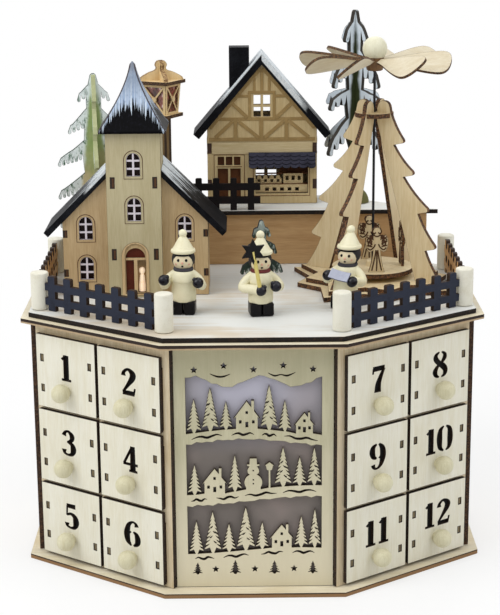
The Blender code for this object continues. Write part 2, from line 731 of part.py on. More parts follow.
def drawer_shape():
    # Origin on the lower edge of the front's rear face, in its middle
    box_low = BOX_FLOOR - LOWEST_FRONT
    front = block(DRAWER_FRONT_WIDTH, PLY, DRAWER_FRONT_HEIGHT, 0.0, -PLY / 2, 0.0)
    box = block(BOX_WIDTH, BOX_LENGTH + BITE, BOX_HEIGHT, 0.0, BOX_LENGTH / 2 - BITE / 2, box_low)
    radius = KNOB_DIAMETER / 2
    seat = math.asin(1 - KNOB_SINK * 3 / radius)
    neck = radius * math.cos(seat)
    profile = [(0, radius + BITE), (neck, radius + BITE)]
    profile += [(x, -y) for x, y in arc(radius, -seat, math.radians(84), 5)] + [(0, -radius)]
    knob = moved(turned(profile, 12), 0, -PLY - radius + KNOB_SINK, KNOB_RISE, 0, math.radians(-90))
    hollow = block(BOX_WIDTH - 2 * BOX_WALL, BOX_LENGTH - BOX_WALL, BOX_HEIGHT, 0.0,
                   (BOX_LENGTH - BOX_WALL) / 2, box_low + BOX_WALL)
    return combined(front, add=[box, knob], cut=[hollow])


def build_drawers():
    shape = mesh_of(drawer_shape(), "drawer")
    shape.shade_smooth()
    shape.set_sharp_from_angle(angle=math.radians(35))
    paint = make_material("drawer", (0.80, 0.76, 0.66), 0.6)
    number = 0
    for _, middle, turn, towards_side, _ in bank_places():
        for row in range(ROWS):
            for column in range(COLUMNS):
                number += 1
                offset = Vector((column_offset(column, towards_side), -CLEAR, 0))
                offset.rotate(Matrix.Rotation(turn, 3, "Z"))
                height = box_bottom(row) - BOX_FLOOR + LOWEST_FRONT
                place = (middle[0] + offset.x, middle[1] + offset.y, height)
                add_copy("drawer_%02d" % number, shape, paint, place, turn)


# Terrace, posts and fences

def terrace_edges(setback, front):
    edges = chest_edges(setback, setback, setback)
    return [(-math.pi / 2, -front), edges[3], edges[4], edges[5]]


def build_terrace():
    outer = corners(terrace_edges(TERRACE_SETBACK, TERRACE_FRONT))
    inner = corners(terrace_edges(TERRACE_SETBACK + PLY, TERRACE_FRONT + PLY))
    ring = combined(extruded(outer, ON_DECK, ON_DECK + TERRACE_HEIGHT),
                    cut=[extruded(inner, ON_DECK - PLY, ON_DECK + TERRACE_HEIGHT + PLY)])
    add_piece("terrace_wall", ring, (0.52, 0.33, 0.19), 0.6)
    board = corners(terrace_edges(TERRACE_SETBACK - TERRACE_LIP, TERRACE_FRONT - TERRACE_LIP - CLEAR * 2))
    add_piece("terrace_top", extruded(board, TERRACE_TOP - PLY, TERRACE_TOP), (0.88, 0.88, 0.87), 0.8)


def picket_fence(length, pickets, picket_width, stub, thick, lift=0.0):
    # A comb of pickets and two rails cut from one board; it starts at 0 and runs along X
    pitch = (length - 2 * stub - picket_width) / (pickets - 1)
    across = [0.0]
    for index in range(pickets):
        start = stub + index * pitch
        across += [start, start + picket_width]
    across.append(length)
    low = LOW_RAIL + lift
    high = HIGH_RAIL + lift
    up = [0.0, low, low + RAIL_HEIGHT, high, high + RAIL_HEIGHT, FENCE_HEIGHT]
    bm = bmesh.new()
    corner = {}

    def vertex(i, j):
        if (i, j) not in corner:
            corner[i, j] = bm.verts.new((across[i], -thick / 2, up[j]))
        return corner[i, j]

    for i in range(len(across) - 1):
        for j in range(len(up) - 1):
            on_picket = i % 2 == 1
            on_rail = j in (1, 3)
            if on_picket or on_rail:
                bm.faces.new((vertex(i, j), vertex(i + 1, j), vertex(i + 1, j + 1), vertex(i, j + 1)))
    grown = bmesh.ops.extrude_face_region(bm, geom=list(bm.faces))
    back = [item for item in grown["geom"] if isinstance(item, bmesh.types.BMVert)]
    bmesh.ops.translate(bm, verts=back, vec=(0, thick, 0))
    bmesh.ops.recalc_face_normals(bm, faces=bm.faces)
    return bm


def post(place):
    radius = POST_DIAMETER / 2
    bevel = 0.7 * MM
    profile = [(0, 0), (radius, 0), (radius, POST_HEIGHT - bevel), (radius - bevel, POST_HEIGHT)]
    profile.append((0, POST_HEIGHT))
    return moved(turned(profile, 18), place[0], place[1], ON_DECK)


def fence_run(hand):
    # Three posts down one side of the deck, with a fence between each pair
    front = Vector((hand * POST_FRONT[0], -POST_FRONT[1]))
    side = Vector((hand * POST_SIDE[0], -POST_SIDE[1]))
    rear = Vector((side.x, side.y + (side - front).length))
    fences = []
    for start, end in ((front, side), (side, rear)):
        way = (end - start).normalized()
        first = start + way * (POST_DIAMETER / 2 - BITE)
        length = (end - start).length - POST_DIAMETER + 2 * BITE
        panel = picket_fence(length, PICKETS, PICKET_WIDTH, 3 * MM, FENCE_THICK)
        fences.append(moved(panel, first.x, first.y, ON_DECK, math.atan2(way.y, way.x)))
    return combined(joined([post(front), post(side), post(rear)]), add=fences)


def build_fences():
    slate = (0.055, 0.065, 0.10)
    add_piece("fence_left", fence_run(-1), slate, 0.55, smooth=35)
    add_piece("fence_right", fence_run(1), slate, 0.55, smooth=35)
    length = (TERRACE_PICKETS - 1) * TERRACE_FENCE_PITCH + TERRACE_PICKET_WIDTH + 2 * TERRACE_FENCE_END
    start = TERRACE_FENCE_RIGHT - length
    railing = picket_fence(length, TERRACE_PICKETS, TERRACE_PICKET_WIDTH, TERRACE_FENCE_END, PLY,
                           TERRACE_RAIL_LIFT)
    add_piece("terrace_fence", railing, (0.012, 0.012, 0.016), 0.55,
              at=(start, TERRACE_FRONT - TERRACE_LIP + PLY, ON_TERRACE))


# House

def gable_outline(width, eaves, pitch):
    half = width / 2
    return [(-half, 0), (half, 0), (half, eaves), (0, eaves + half * math.tan(pitch)), (-half, eaves)]


def roof_outline(width, eaves, pitch, thick, overhang, lift):
    # Two sloping boards that meet at the ridge, seen from the gable
    half = width / 2
    rise = lift / math.cos(pitch)
    foot = half + overhang
    inner_ridge = eaves + half * math.tan(pitch) + rise
    inner_foot = inner_ridge - foot * math.tan(pitch)
    outer = thick / math.cos(pitch)
    end = Vector((math.sin(pitch), math.cos(pitch))) * thick
    return [(-foot, inner_foot), (0, inner_ridge), (foot, inner_foot), (foot + end.x, inner_foot + end.y),
            (0, inner_ridge + outer), (-foot - end.x, inner_foot + end.y)]


def awning():
    # Sloping board with a scalloped lower edge
    scallops = 6
    radius = AWNING_WIDTH / scallops / 2
    edge = []
    for index in range(scallops):
        middle = -AWNING_WIDTH / 2 + radius * (2 * index + 1)
        bow = arc(radius, math.pi, 2 * math.pi, 4, (middle, 0))
        edge += [(x, y * 0.7) for x, y in bow[:-1]]
    edge.append((AWNING_WIDTH / 2, 0.0))
    outline = edge + [(AWNING_WIDTH / 2, AWNING_DROP), (-AWNING_WIDTH / 2, AWNING_DROP)]
    board = upright(outline, -1.6 * MM, 0.0)
    tilt = math.atan2(AWNING_REACH, AWNING_DROP)
    bmesh.ops.translate(board, verts=board.verts, vec=(0, 0, -AWNING_DROP))
    return moved(board, tilt=-tilt)


def build_house():
    front = TERRACE_FRONT + HOUSE_BACK_FROM_FRONT
    shell = upright(gable_outline(HOUSE_WIDTH, HOUSE_EAVES, HOUSE_PITCH), 0.0, HOUSE_DEPTH)
    inside = block(HOUSE_WIDTH - 2 * HOUSE_WALL, HOUSE_DEPTH - 2 * HOUSE_WALL, HOUSE_WIDTH * 2, 0.0,
                   HOUSE_DEPTH / 2, -HOUSE_WALL)
    door_middle = -HOUSE_WIDTH / 2 + DOOR_FROM_SIDE + DOOR_WIDTH / 2
    leaf = (DOOR_WIDTH - DOOR_BAR) / 2
    shop_middle = HOUSE_WIDTH / 2 - 6.5 * MM - SHOP_WIDTH / 2
    through = (-HOUSE_WALL, 2 * HOUSE_WALL)
    holes = []
    for hand in (-1, 1):
        holes.append(upright(rectangle(leaf, DOOR_HEIGHT, 2 * MM, door_middle + hand * (leaf + DOOR_BAR) / 2),
                             *through))
        for row in (0, 1):
            low = LOFT_RISE + row * (LOFT_PANE * 1.35 + LOFT_BAR)
            holes.append(upright(rectangle(LOFT_PANE, LOFT_PANE * 1.35, low,
                                           hand * (LOFT_PANE + LOFT_BAR) / 2), *through))
    holes.append(upright(rectangle(SHOP_WIDTH, SHOP_HEIGHT, SHOP_LOW, shop_middle), *through))
    awning_top = SHOP_LOW + SHOP_HEIGHT + AWNING_DROP
    roof_board = moved(awning(), HOUSE_WIDTH / 2 - AWNING_WIDTH / 2, BITE, awning_top)
    walls = combined(shell, add=[roof_board], cut=[inside, joined(holes)])
    at = (HOUSE_ACROSS, front, ON_TERRACE)
    add_piece("house_walls", walls, (0.53, 0.42, 0.27), 0.62, at=at)

    cap = upright(roof_outline(HOUSE_WIDTH, HOUSE_EAVES, HOUSE_PITCH, HOUSE_ROOF, HOUSE_OVERHANG, CLEAR),
                  -HOUSE_VERGE, HOUSE_DEPTH + HOUSE_VERGE)
    ridge = HOUSE_EAVES + HOUSE_WIDTH / 2 * math.tan(HOUSE_PITCH)
    seat = ridge - (CHIMNEY_OFFSET - CHIMNEY_WIDTH / 2) * math.tan(HOUSE_PITCH) + CLEAR
    stack = block(CHIMNEY_WIDTH, CHIMNEY_DEPTH, CHIMNEY_TOP - seat + CHIMNEY_WIDTH, -CHIMNEY_OFFSET,
                  HOUSE_DEPTH / 2, seat - CHIMNEY_WIDTH)
    under = upright(gable_outline(HOUSE_WIDTH, HOUSE_EAVES + CLEAR / math.cos(HOUSE_PITCH), HOUSE_PITCH),
                    -HOUSE_VERGE * 2, HOUSE_DEPTH + HOUSE_VERGE * 2)
    add_piece("house_roof", combined(cap, add=[stack], cut=[under]), (0.03, 0.033, 0.045), 0.6, at=at)


# Church

def arched_window(middle, low, width=ARCH_WIDTH, height=ARCH_HEIGHT):
    # Two round-headed lights beside a thin upright bar
    half_bar = ARCH_BAR / 2
    whole = arch(width, height, low, middle, 8)
    left = [(min(x, middle - half_bar), y) for x, y in whole]
    right = [(max(x, middle + half_bar), y) for x, y in whole]
    return [tidy_outline(left), tidy_outline(right)]


def tidy_outline(points):
    kept = []
    for point in points:
        if not kept or math.dist(point, kept[-1]) > 0.05 * MM:
            kept.append(point)
    if math.dist(kept[0], kept[-1]) < 0.05 * MM:
        kept.pop()
    straight = []
    for index, point in enumerate(kept):
        before = kept[index - 1]
        after = kept[(index + 1) % len(kept)]
        turn = (point[0] - before[0]) * (after[1] - point[1]) - (point[1] - before[1]) * (after[0] - point[0])
        if abs(turn) > 1e-12:
            straight.append(point)
    return straight


def spire():
    # Square spire with sides that sweep out to the eaves
    levels = 6
    profile = []
    for level in range(levels):
        share = level / (levels - 1)
        profile.append((SPIRE_WIDTH / 2 * (1 - share) ** 1.45 + 0.9 * MM * share, SPIRE_HEIGHT * share))
    bm = bmesh.new()
    rings = []
    for half, height in [(profile[0][0], -SPIRE_SKIRT)] + profile:
        ring = [bm.verts.new((x * half, y * half, height)) for x, y in ((-1, -1), (1, -1), (1, 1), (-1, 1))]
        if rings:
            for i in range(4):
                bm.faces.new((rings[-1][i - 1], rings[-1][i], ring[i], ring[i - 1]))
        rings.append(ring)
    bm.faces.new(rings[0])
    bm.faces.new(rings[-1])
    bmesh.ops.recalc_face_normals(bm, faces=bm.faces)
    return bm


def build_church():
    tower_middle = -TOWER_PROUD + TOWER_WIDTH / 2
    shell = upright(gable_outline(CHURCH_WIDTH, CHURCH_EAVES, CHURCH_PITCH), 0.0, CHURCH_DEPTH)
    nave = block(CHURCH_WIDTH - 2 * CHURCH_WALL, CHURCH_DEPTH - 2 * CHURCH_WALL, CHURCH_WIDTH * 2, 0.0,
                 CHURCH_DEPTH / 2, -CHURCH_WALL)
    tower = block(TOWER_WIDTH, TOWER_WIDTH, TOWER_HEIGHT, 0.0, tower_middle, 0.0)
    tower_core = block(TOWER_WIDTH - 2 * CHURCH_WALL, TOWER_WIDTH - 2 * CHURCH_WALL, TOWER_HEIGHT * 2, 0.0,
                       tower_middle, -CHURCH_WALL)
    body = combined(shell, cut=[nave])
    outlines = []
    for hand in (-1, 1):
        for low in (AISLE_LOW, AISLE_HIGH):
            outlines += arched_window(hand * AISLE_WINDOW, low)
    tower_outlines = arched_window(0.0, TOWER_LOW) + arched_window(0.0, TOWER_HIGH)
    tower_outlines += arched_window(0.0, 3 * MM, PORTAL_WIDTH, PORTAL_HEIGHT)
    holes = [upright(outline, -CHURCH_WALL, 2 * CHURCH_WALL) for outline in outlines]
    front = -TOWER_PROUD
    holes += [upright(outline, front - CHURCH_WALL, front + 2 * CHURCH_WALL) for outline in tower_outlines]
    walls = combined(body, add=[tower], cut=[tower_core, joined(holes)])
    at = (CHURCH_ACROSS, -CHURCH_FRONT, ON_DECK)
    add_piece("church_walls", walls, (0.60, 0.50, 0.34), 0.62, at=at)

    section = roof_outline(CHURCH_WIDTH, CHURCH_EAVES, CHURCH_PITCH, CHURCH_ROOF, CHURCH_OVERHANG, CLEAR)
    boards = upright(section, -CHURCH_VERGE, CHURCH_DEPTH + CHURCH_VERGE)
    notch = block(TOWER_WIDTH + 2 * CLEAR, TOWER_WIDTH + 2 * CLEAR + TOWER_PROUD, CHURCH_WIDTH * 2, 0.0,
                  tower_middle - TOWER_PROUD / 2, 0.0)
    add_piece("church_roof", combined(boards, cut=[notch]), (0.03, 0.033, 0.045), 0.6, at=at)
    add_piece("church_spire", spire(), (0.05, 0.06, 0.085), 0.6,
              at=(CHURCH_ACROSS, -CHURCH_FRONT + tower_middle, ON_DECK + TOWER_HEIGHT + CLEAR + SPIRE_SKIRT))


# Lantern

def frustum(low_width, high_width, low, high):
    bm = bmesh.new()
    root = math.sqrt(2)
    bmesh.ops.create_cone(bm, cap_ends=True, segments=4, radius1=low_width / root, radius2=high_width / root,
                          depth=high - low, matrix=Matrix.Translation((0, 0, (low + high) / 2))
                          @ Matrix.Rotation(math.radians(45), 4, "Z"))
    return bm


def build_lantern():
    floor_top = LANTERN_CAGE_LOW + LANTERN_PLATE
    cage_top = floor_top + LANTERN_CAGE_HEIGHT
    cap_low = cage_top + LANTERN_PLATE
    foot = frustum(LANTERN_FOOT, LANTERN_FOOT, 0.0, PLY)
    post_shape = frustum(LANTERN_POST, LANTERN_POST, PLY - BITE, LANTERN_CAGE_LOW + BITE)
    floor = frustum(LANTERN_FLOOR_WIDTH, LANTERN_FLOOR_WIDTH, LANTERN_CAGE_LOW, floor_top)
    panes = frustum(LANTERN_PANE_LOW, LANTERN_PANE_HIGH, floor_top - BITE, cage_top + BITE)
    plate = frustum(LANTERN_ROOF_WIDTH, LANTERN_ROOF_WIDTH, cage_top, cap_low)
    bars = []
    for side in range(4):
        for hand in (-1, 1):
            lean = math.atan2(LANTERN_PANE_LOW * 0.8, LANTERN_CAGE_HEIGHT)
            bar_length = LANTERN_CAGE_HEIGHT * 1.1
            bar = block(LANTERN_BAR, LANTERN_BAR, bar_length, 0, 0, -bar_length / 2)
            bmesh.ops.transform(bar, matrix=Matrix.Rotation(hand * lean, 4, "Y"), verts=bar.verts)
            away = (LANTERN_PANE_LOW + LANTERN_PANE_HIGH) / 4
            middle = floor_top + LANTERN_CAGE_HEIGHT / 2
            bar = moved(bar, 0, -away, middle, 0, math.atan2(LANTERN_PANE_HIGH - LANTERN_PANE_LOW,
                                                              2 * LANTERN_CAGE_HEIGHT))
            bars.append(moved(bar, turn=side * math.pi / 2))
    hood = []
    right = [(x * MM, y * MM) for x, y in LANTERN_CAP]
    for index in range(2):
        trim = index * CLEAR
        outline = [(right[0][0] - trim, -BITE)] + [(x - trim, y - trim) for x, y in right]
        outline += [(-x, y) for x, y in reversed(outline)]
        board = upright(outline, -PLY / 2, PLY / 2)
        hood.append(moved(board, up=cap_low, turn=math.pi / 4 + index * math.pi / 2))
    whole = combined(foot, add=[post_shape, floor, panes, plate] + hood + bars)
    add_piece("lantern", whole, (0.60, 0.48, 0.30), 0.55, at=(*LANTERN_AT, ON_DECK), turn=LANTERN_TURN)


# Fir trees

def tree_outline(height, boughs, reach_share=1.0, trunk=TREE_TRUNK):
    # Half silhouette, mirrored: each bough sweeps out and down to a blunt tip
    right = [(trunk * 0.3, height), (trunk * 0.55, height - trunk * 0.9)]
    above = height - trunk * 1.3
    for reach, drop in boughs:
        tip = reach * reach_share * height
        level = height - drop * height
        fall = above - level
        inner = max(tip * 0.3, trunk * 0.8)
        right.append((inner, level + fall * 0.66))
        right.append((tip * 0.74, level + fall * 0.26))
        right.append((tip, level + trunk * 0.22))
        right.append((tip * 0.93, level - trunk * 0.26))
        above = level
    right.append((trunk, above + trunk * 0.76))
    right.append((trunk, 0.0))
    return right + [(-x, y) for x, y in reversed(right)]


def fir_tree(height, boughs, depth_share, foot):
    # Two slotted boards crossing at the trunk, on a round foot
    first = upright(tree_outline(height, boughs), -TREE_PLY / 2, TREE_PLY / 2)
    second = upright(tree_outline(height - CLEAR, boughs, depth_share), -TREE_PLY / 2, TREE_PLY / 2)
    moved(second, turn=math.pi / 2)
    dome = [(0, 0)] + arc(foot, 0, math.radians(75), 4) + [(0, foot)]
    return combined(first, add=[second, turned(dome, 14)])


def build_trees():
    green = (0.33, 0.40, 0.30)
    left = fir_tree(TREE_LEFT_HEIGHT, TREE_LEFT_BOUGHS, TREE_LEFT_DEPTH, TREE_LEFT_FOOT)
    add_piece("tree_left", left, green, 0.7, at=(*TREE_LEFT_AT, ON_DECK), turn=TREE_LEFT_TURN)
    right = fir_tree(TREE_RIGHT_HEIGHT, TREE_RIGHT_BOUGHS, 0.98, TREE_RIGHT_FOOT)
    add_piece("tree_right", right, green, 0.7, at=(*TREE_RIGHT_AT, ON_TERRACE), turn=TREE_RIGHT_TURN)


# Pyramid

def star_plate(shrink, low):
    outline = []
    for step in range(16):
        if step % 2:
            reach = STAR_VALLEY
        elif step % 4 == 2:
            reach = STAR_LONG
        else:
            reach = STAR_SHORT
        angle = step * math.pi / 8
        outline.append(((reach - shrink) * math.cos(angle), (reach - shrink) * math.sin(angle)))
    return extruded(outline, low, low + PYRAMID_PLY)


def leg_outline():
    # Half a fir tree, (distance from the shaft, height above the star)
    notch_in, notch_down = BOUGH_NOTCH
    outline = [(LEG_FOOT_INNER, -BITE), (LEG_FOOT_OUTER, -BITE)]
    for reach, rise in LEG_BOUGHS:
        tip = (reach * LEG_FOOT_OUTER, rise * LEG_HEIGHT)
        outline.append((tip[0] - notch_in, tip[1] - notch_down))
        outline.append((tip[0] - 0.5 * MM, tip[1] - 0.6 * MM))
        outline.append((tip[0] - 0.6 * MM, tip[1] + 1.2 * MM))
    outline += [(17.2 * MM, LEG_HEIGHT - 16.5 * MM), (13.6 * MM, LEG_HEIGHT - 6.5 * MM)]
    outline += arc(4.4 * MM, math.radians(20), math.radians(150), 4, (8 * MM, LEG_HEIGHT - 4.4 * MM))
    outline += [(LEG_TOP_INNER, LEG_HEIGHT - 5 * MM), (LEG_TOP_INNER, LEG_HEIGHT - LEG_SHOULDER)]
    return outline


def star_top():
    return ON_DECK + 2 * PYRAMID_PLY


def pyramid_stand():
    rise = 2 * PYRAMID_PLY
    plate_low = rise + LEG_HEIGHT - TOP_PLATE_DROP
    base = star_plate(0.0, 0.0)
    upper = star_plate(STAR_STEP, PYRAMID_PLY - BITE)
    bmesh.ops.translate(upper, verts=[v for v in upper.verts if v.co.z > PYRAMID_PLY], vec=(0, 0, BITE))
    legs = []
    for leg in range(4):
        shape = upright(leg_outline(), -PYRAMID_PLY / 2, PYRAMID_PLY / 2)
        legs.append(moved(shape, up=rise, turn=math.pi / 4 + leg * math.pi / 2))
    plate = rod(TOP_PLATE_RADIUS, PYRAMID_PLY, 16, plate_low)
    bush = rod(BUSH_RADIUS, BUSH_HEIGHT + BITE, 14, rise - BITE)
    bore = SHAFT_DIAMETER / 2 + CLEAR
    holes = joined([rod(bore, PYRAMID_PLY * 3, 10, plate_low - PYRAMID_PLY),
                    rod(bore, BUSH_HEIGHT * 2, 10, rise)])
    return combined(base, add=[upper] + legs + [plate, bush], cut=[holes])


def angel_outline():
    # Long robe, two wings and a round head, (across, up)
    tall = ANGEL_HEIGHT
    shares = [(0.17, 0), (0.11, 0.3), (0.07, 0.5), (0.2, 0.43), (0.25, 0.62), (0.2, 0.84), (0.08, 0.7)]
    right = [(tall * x, tall * y) for x, y in shares]
    head = arc(tall * 0.1, math.radians(-50), math.radians(90), 4, (0, tall * 0.9))
    right = right + head[:-1]
    return right + [(0, tall)] + [(-x, y) for x, y in reversed(right)]


def turntable():
    radius = TURNTABLE_RADIUS
    disc = rod(radius, TURNTABLE_THICK, 32)
    collar = rod(COLLAR_RADIUS, COLLAR_HEIGHT + BITE, 14, TURNTABLE_THICK - BITE)
    boards = []
    for index in range(ANGELS):
        board = upright(angel_outline(), -ANGEL_THICK / 2, ANGEL_THICK / 2)
        board = moved(board, 0, -ANGEL_RADIUS, TURNTABLE_THICK - BITE)
        boards.append(moved(board, turn=ANGEL_PHASE + math.pi / 2 + index * 2 * math.pi / ANGELS))
    bore = rod(SHAFT_DIAMETER / 2 + CLEAR, COLLAR_HEIGHT * 4, 10, -TURNTABLE_THICK)
    return combined(disc, add=[collar, joined(boards)], cut=[bore])


def vane_wheel():
    # Origin in the middle of the ball
    hub = ball(HUB_RADIUS, (0, 0, 0), 20, 12)
    neck = rod(HUB_NECK_RADIUS, HUB_NECK_LENGTH, 16, -HUB_NECK_LENGTH - HUB_RADIUS * 0.3)
    vanes = []
    for index in range(VANES):
        tip = arc(VANE_REACH, -VANE_SPREAD / 2, VANE_SPREAD / 2, 4)
        outline = [(VANE_ROOT, VANE_ROOT_WIDTH / 2), (VANE_ROOT, -VANE_ROOT_WIDTH / 2)] + tip
        vane = extruded(outline, -VANE_THICK / 2, VANE_THICK / 2)
        vane = moved(vane, tilt=VANE_PITCH)
        vanes.append(moved(vane, up=-VANE_DROP, turn=VANE_PHASE + index * 2 * math.pi / VANES))
    bore = rod(SHAFT_DIAMETER / 2 + CLEAR, HUB_NECK_LENGTH * 2, 10,
               -HUB_NECK_LENGTH - HUB_RADIUS * 0.3 + HUB_BORE - HUB_NECK_LENGTH * 2)
    return combined(hub, add=[neck] + vanes, cut=[bore])


def build_pyramid():
    birch = (0.62, 0.53, 0.38)
    place = (*PYRAMID_AT, 0)
    add_piece("pyramid_stand", pyramid_stand(), birch, 0.6, at=(*PYRAMID_AT, ON_DECK), turn=PYRAMID_TURN)
    axle = bpy.data.objects.new("carousel_axis", None)
    bpy.context.scene.collection.objects.link(axle)
    axle.location = place
    axle.rotation_euler = (0, 0, PYRAMID_TURN)
    foot = star_top() + CLEAR
    wheel_height = star_top() + HUB_RISE
    shaft_top = wheel_height - HUB_NECK_LENGTH - HUB_RADIUS * 0.3 + HUB_BORE - CLEAR
    radius = SHAFT_DIAMETER / 2
    shaft = turned([(0, foot), (radius, foot + radius), (radius, shaft_top), (0, shaft_top)], 10)
    parts = [
        add_piece("pyramid_shaft", shaft, (0.02, 0.02, 0.02), 0.35, 1.0, smooth=40),
        add_piece("turntable", turntable(), birch, 0.6, at=(0, 0, star_top() + TURNTABLE_RISE), smooth=35),
        add_piece("pyramid_wheel", vane_wheel(), (0.74, 0.67, 0.50), 0.6, at=(0, 0, wheel_height), smooth=35),
    ]
    for part in parts:
        part.parent = axle


# Figures

def limb(start, end, start_radius, end_radius, sides=8):
    # A round limb between two points
    start = Vector(start)
    end = Vector(end)
    way = end - start
    bm = bmesh.new()
    turn = Vector((0, 0, 1)).rotation_difference(way.normalized()).to_matrix().to_4x4()
    bmesh.ops.create_cone(bm, cap_ends=True, segments=sides, radius1=start_radius, radius2=end_radius,
                          depth=way.length, matrix=Matrix.Translation((start + end) / 2) @ turn)
    return bm


def figure_body():
    # Coat, neck, head, pointed hat and bobble, turned in one piece on two boots
    coat_low = BOOT_HEIGHT - BITE
    shoulder = BOOT_HEIGHT + COAT_HEIGHT
    head_middle = shoulder + HEAD_RADIUS * 0.82
    brim = head_middle + HEAD_RADIUS * 0.5
    hat_top = brim + HAT_HEIGHT
    head = arc(HEAD_RADIUS, math.radians(-52), math.radians(26), 3, (0, head_middle))
    bobble = arc(BOBBLE_RADIUS, math.radians(-65), math.radians(80), 3, (0, hat_top + BOBBLE_RADIUS * 0.5))
    profile = [(0, coat_low), (COAT_RADIUS * 0.94, coat_low), (COAT_RADIUS, BOOT_HEIGHT + 3 * MM),
               (COAT_RADIUS * 0.93, BOOT_HEIGHT + COAT_HEIGHT * 0.6),
               (COAT_RADIUS, BOOT_HEIGHT + COAT_HEIGHT * 0.66), (SHOULDER_RADIUS, shoulder - 1 * MM)]
    profile += head
    profile += [(HAT_RADIUS, brim), (HAT_RADIUS, brim + 1.6 * MM), (HAT_RADIUS * 0.82, brim + 3 * MM),
                (BOBBLE_RADIUS * 0.6, hat_top)]
    profile += bobble + [(0, bobble[-1][1] + 0.05 * MM)]
    boots = block(BOOT_WIDTH, BOOT_DEPTH, BOOT_HEIGHT, 0, -0.8 * MM, 0)
    cleft = block(BOOT_CLEFT, BOOT_DEPTH, BOOT_HEIGHT * 0.8, 0, -BOOT_DEPTH * 0.62, -BOOT_HEIGHT * 0.1)
    return combined(turned(profile, 14), add=[boots], cut=[cleft])


def arm(hand, mitten):
    # Sleeve out to the elbow and forward to the mitten
    shoulder = (hand * SHOULDER_RADIUS * 0.8, 0, BOOT_HEIGHT + COAT_HEIGHT - 3.4 * MM)
    elbow = (hand * ARM_SPREAD * 0.86, -2.4 * MM, BOOT_HEIGHT + COAT_HEIGHT - 11 * MM)
    upper = limb(shoulder, elbow, SLEEVE_RADIUS, SLEEVE_RADIUS * 1.1, 6)
    lower = limb(elbow, mitten, SLEEVE_RADIUS * 1.08, SLEEVE_RADIUS, 6)
    return [upper, ball(SLEEVE_RADIUS * 1.16, elbow, 6, 4), lower, ball(MITTEN_RADIUS, mitten, 8, 6)]


def figure(mittens, extras=()):
    parts = []
    for hand, mitten in zip((-1, 1), mittens):
        parts += arm(hand, mitten)
    return combined(figure_body(), add=parts + list(extras))


def build_figures():
    cream = (0.80, 0.76, 0.66)
    chest = BOOT_HEIGHT + COAT_HEIGHT - 9 * MM
    spread = ARM_SPREAD * 0.72
    hands_apart = [(-spread - 1.8 * MM, -8 * MM, chest + 3 * MM), (spread, -8 * MM, chest + 1.4 * MM)]
    hands_right = [(-1.5 * MM, -11 * MM, chest - 2 * MM), (8.4 * MM, -9.5 * MM, chest)]
    hands_book = [(-9 * MM, -11 * MM, chest + 3 * MM), (8 * MM, -11 * MM, chest)]

    stick_low = Vector((-1.5 * MM, -12 * MM, chest - 4 * MM))
    stick_high = Vector((-6.6 * MM, -12.6 * MM, chest + 24 * MM))
    star = upright(star_outline(0.0, 0.0, 8.2 * MM, 6), -1.3 * MM, 1.3 * MM)
    star = moved(star, stick_high.x, stick_high.y, stick_high.z)
    staff = limb(stick_low, stick_high, 1.3 * MM, 1.3 * MM)
    fir_outline = tree_outline(SMALL_FIR_HEIGHT, SMALL_FIR_BOUGHS, 1.0, SMALL_FIR_TRUNK)
    small_fir = upright(fir_outline, -SMALL_FIR_THICK / 2, SMALL_FIR_THICK / 2)
    small_fir = moved(small_fir, 2 * MM, COAT_RADIUS + SMALL_FIR_THICK / 5, BOOT_HEIGHT * 0.9)
    upper_edge = [(8 * MM, 4.4 * MM), (0, 3.2 * MM), (-8 * MM, 4.4 * MM)]
    lower_edge = [(x, -y) for x, y in reversed(upper_edge)]
    book = upright(lower_edge + upper_edge, -1 * MM, 1 * MM)
    book = moved(book, -0.6 * MM, -11.4 * MM, chest + 6 * MM, 0, math.radians(-32))

    shapes = {
        "singer_left": figure(hands_apart),
        "singer_middle": figure(hands_right, (staff, star, small_fir)),
        "singer_right": figure(hands_book, (book,)),
    }
    for name, shape in shapes.items():
        across, forward, turn, lean = FIGURE_AT[name]
        if lean:
            for vert in shape.verts:
                above = max(vert.co.z - BOOT_HEIGHT, 0.0)
                vert.co.x += above * math.tan(lean)
        add_piece(name, shape, cream, 0.5, at=(across, forward, ON_DECK), turn=turn, smooth=50)


clear_scene()
build_chest()
build_drawers()
build_terrace()
build_fences()
build_house()
build_church()
build_lantern()
build_trees()
build_pyramid()
build_figures()
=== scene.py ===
import math
import random

import bmesh
import bpy
from mathutils import Matrix, Vector


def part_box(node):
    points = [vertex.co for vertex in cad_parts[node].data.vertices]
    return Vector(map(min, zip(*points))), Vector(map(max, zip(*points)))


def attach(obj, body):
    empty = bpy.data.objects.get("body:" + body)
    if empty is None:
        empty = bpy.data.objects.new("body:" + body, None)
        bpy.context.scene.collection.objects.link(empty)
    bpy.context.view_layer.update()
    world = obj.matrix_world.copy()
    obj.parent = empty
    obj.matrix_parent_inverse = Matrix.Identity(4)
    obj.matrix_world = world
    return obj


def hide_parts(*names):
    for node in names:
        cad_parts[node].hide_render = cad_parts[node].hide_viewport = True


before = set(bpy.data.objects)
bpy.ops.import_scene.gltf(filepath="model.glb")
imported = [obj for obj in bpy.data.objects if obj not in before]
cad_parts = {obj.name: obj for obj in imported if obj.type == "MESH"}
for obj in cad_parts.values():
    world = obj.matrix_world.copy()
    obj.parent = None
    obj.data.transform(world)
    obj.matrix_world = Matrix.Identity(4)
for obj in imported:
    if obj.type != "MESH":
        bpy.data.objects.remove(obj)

mm = 0.001
quarter = math.pi / 2
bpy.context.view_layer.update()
print("frame loaded:", len(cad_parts), "nodes")


# Shader wiring

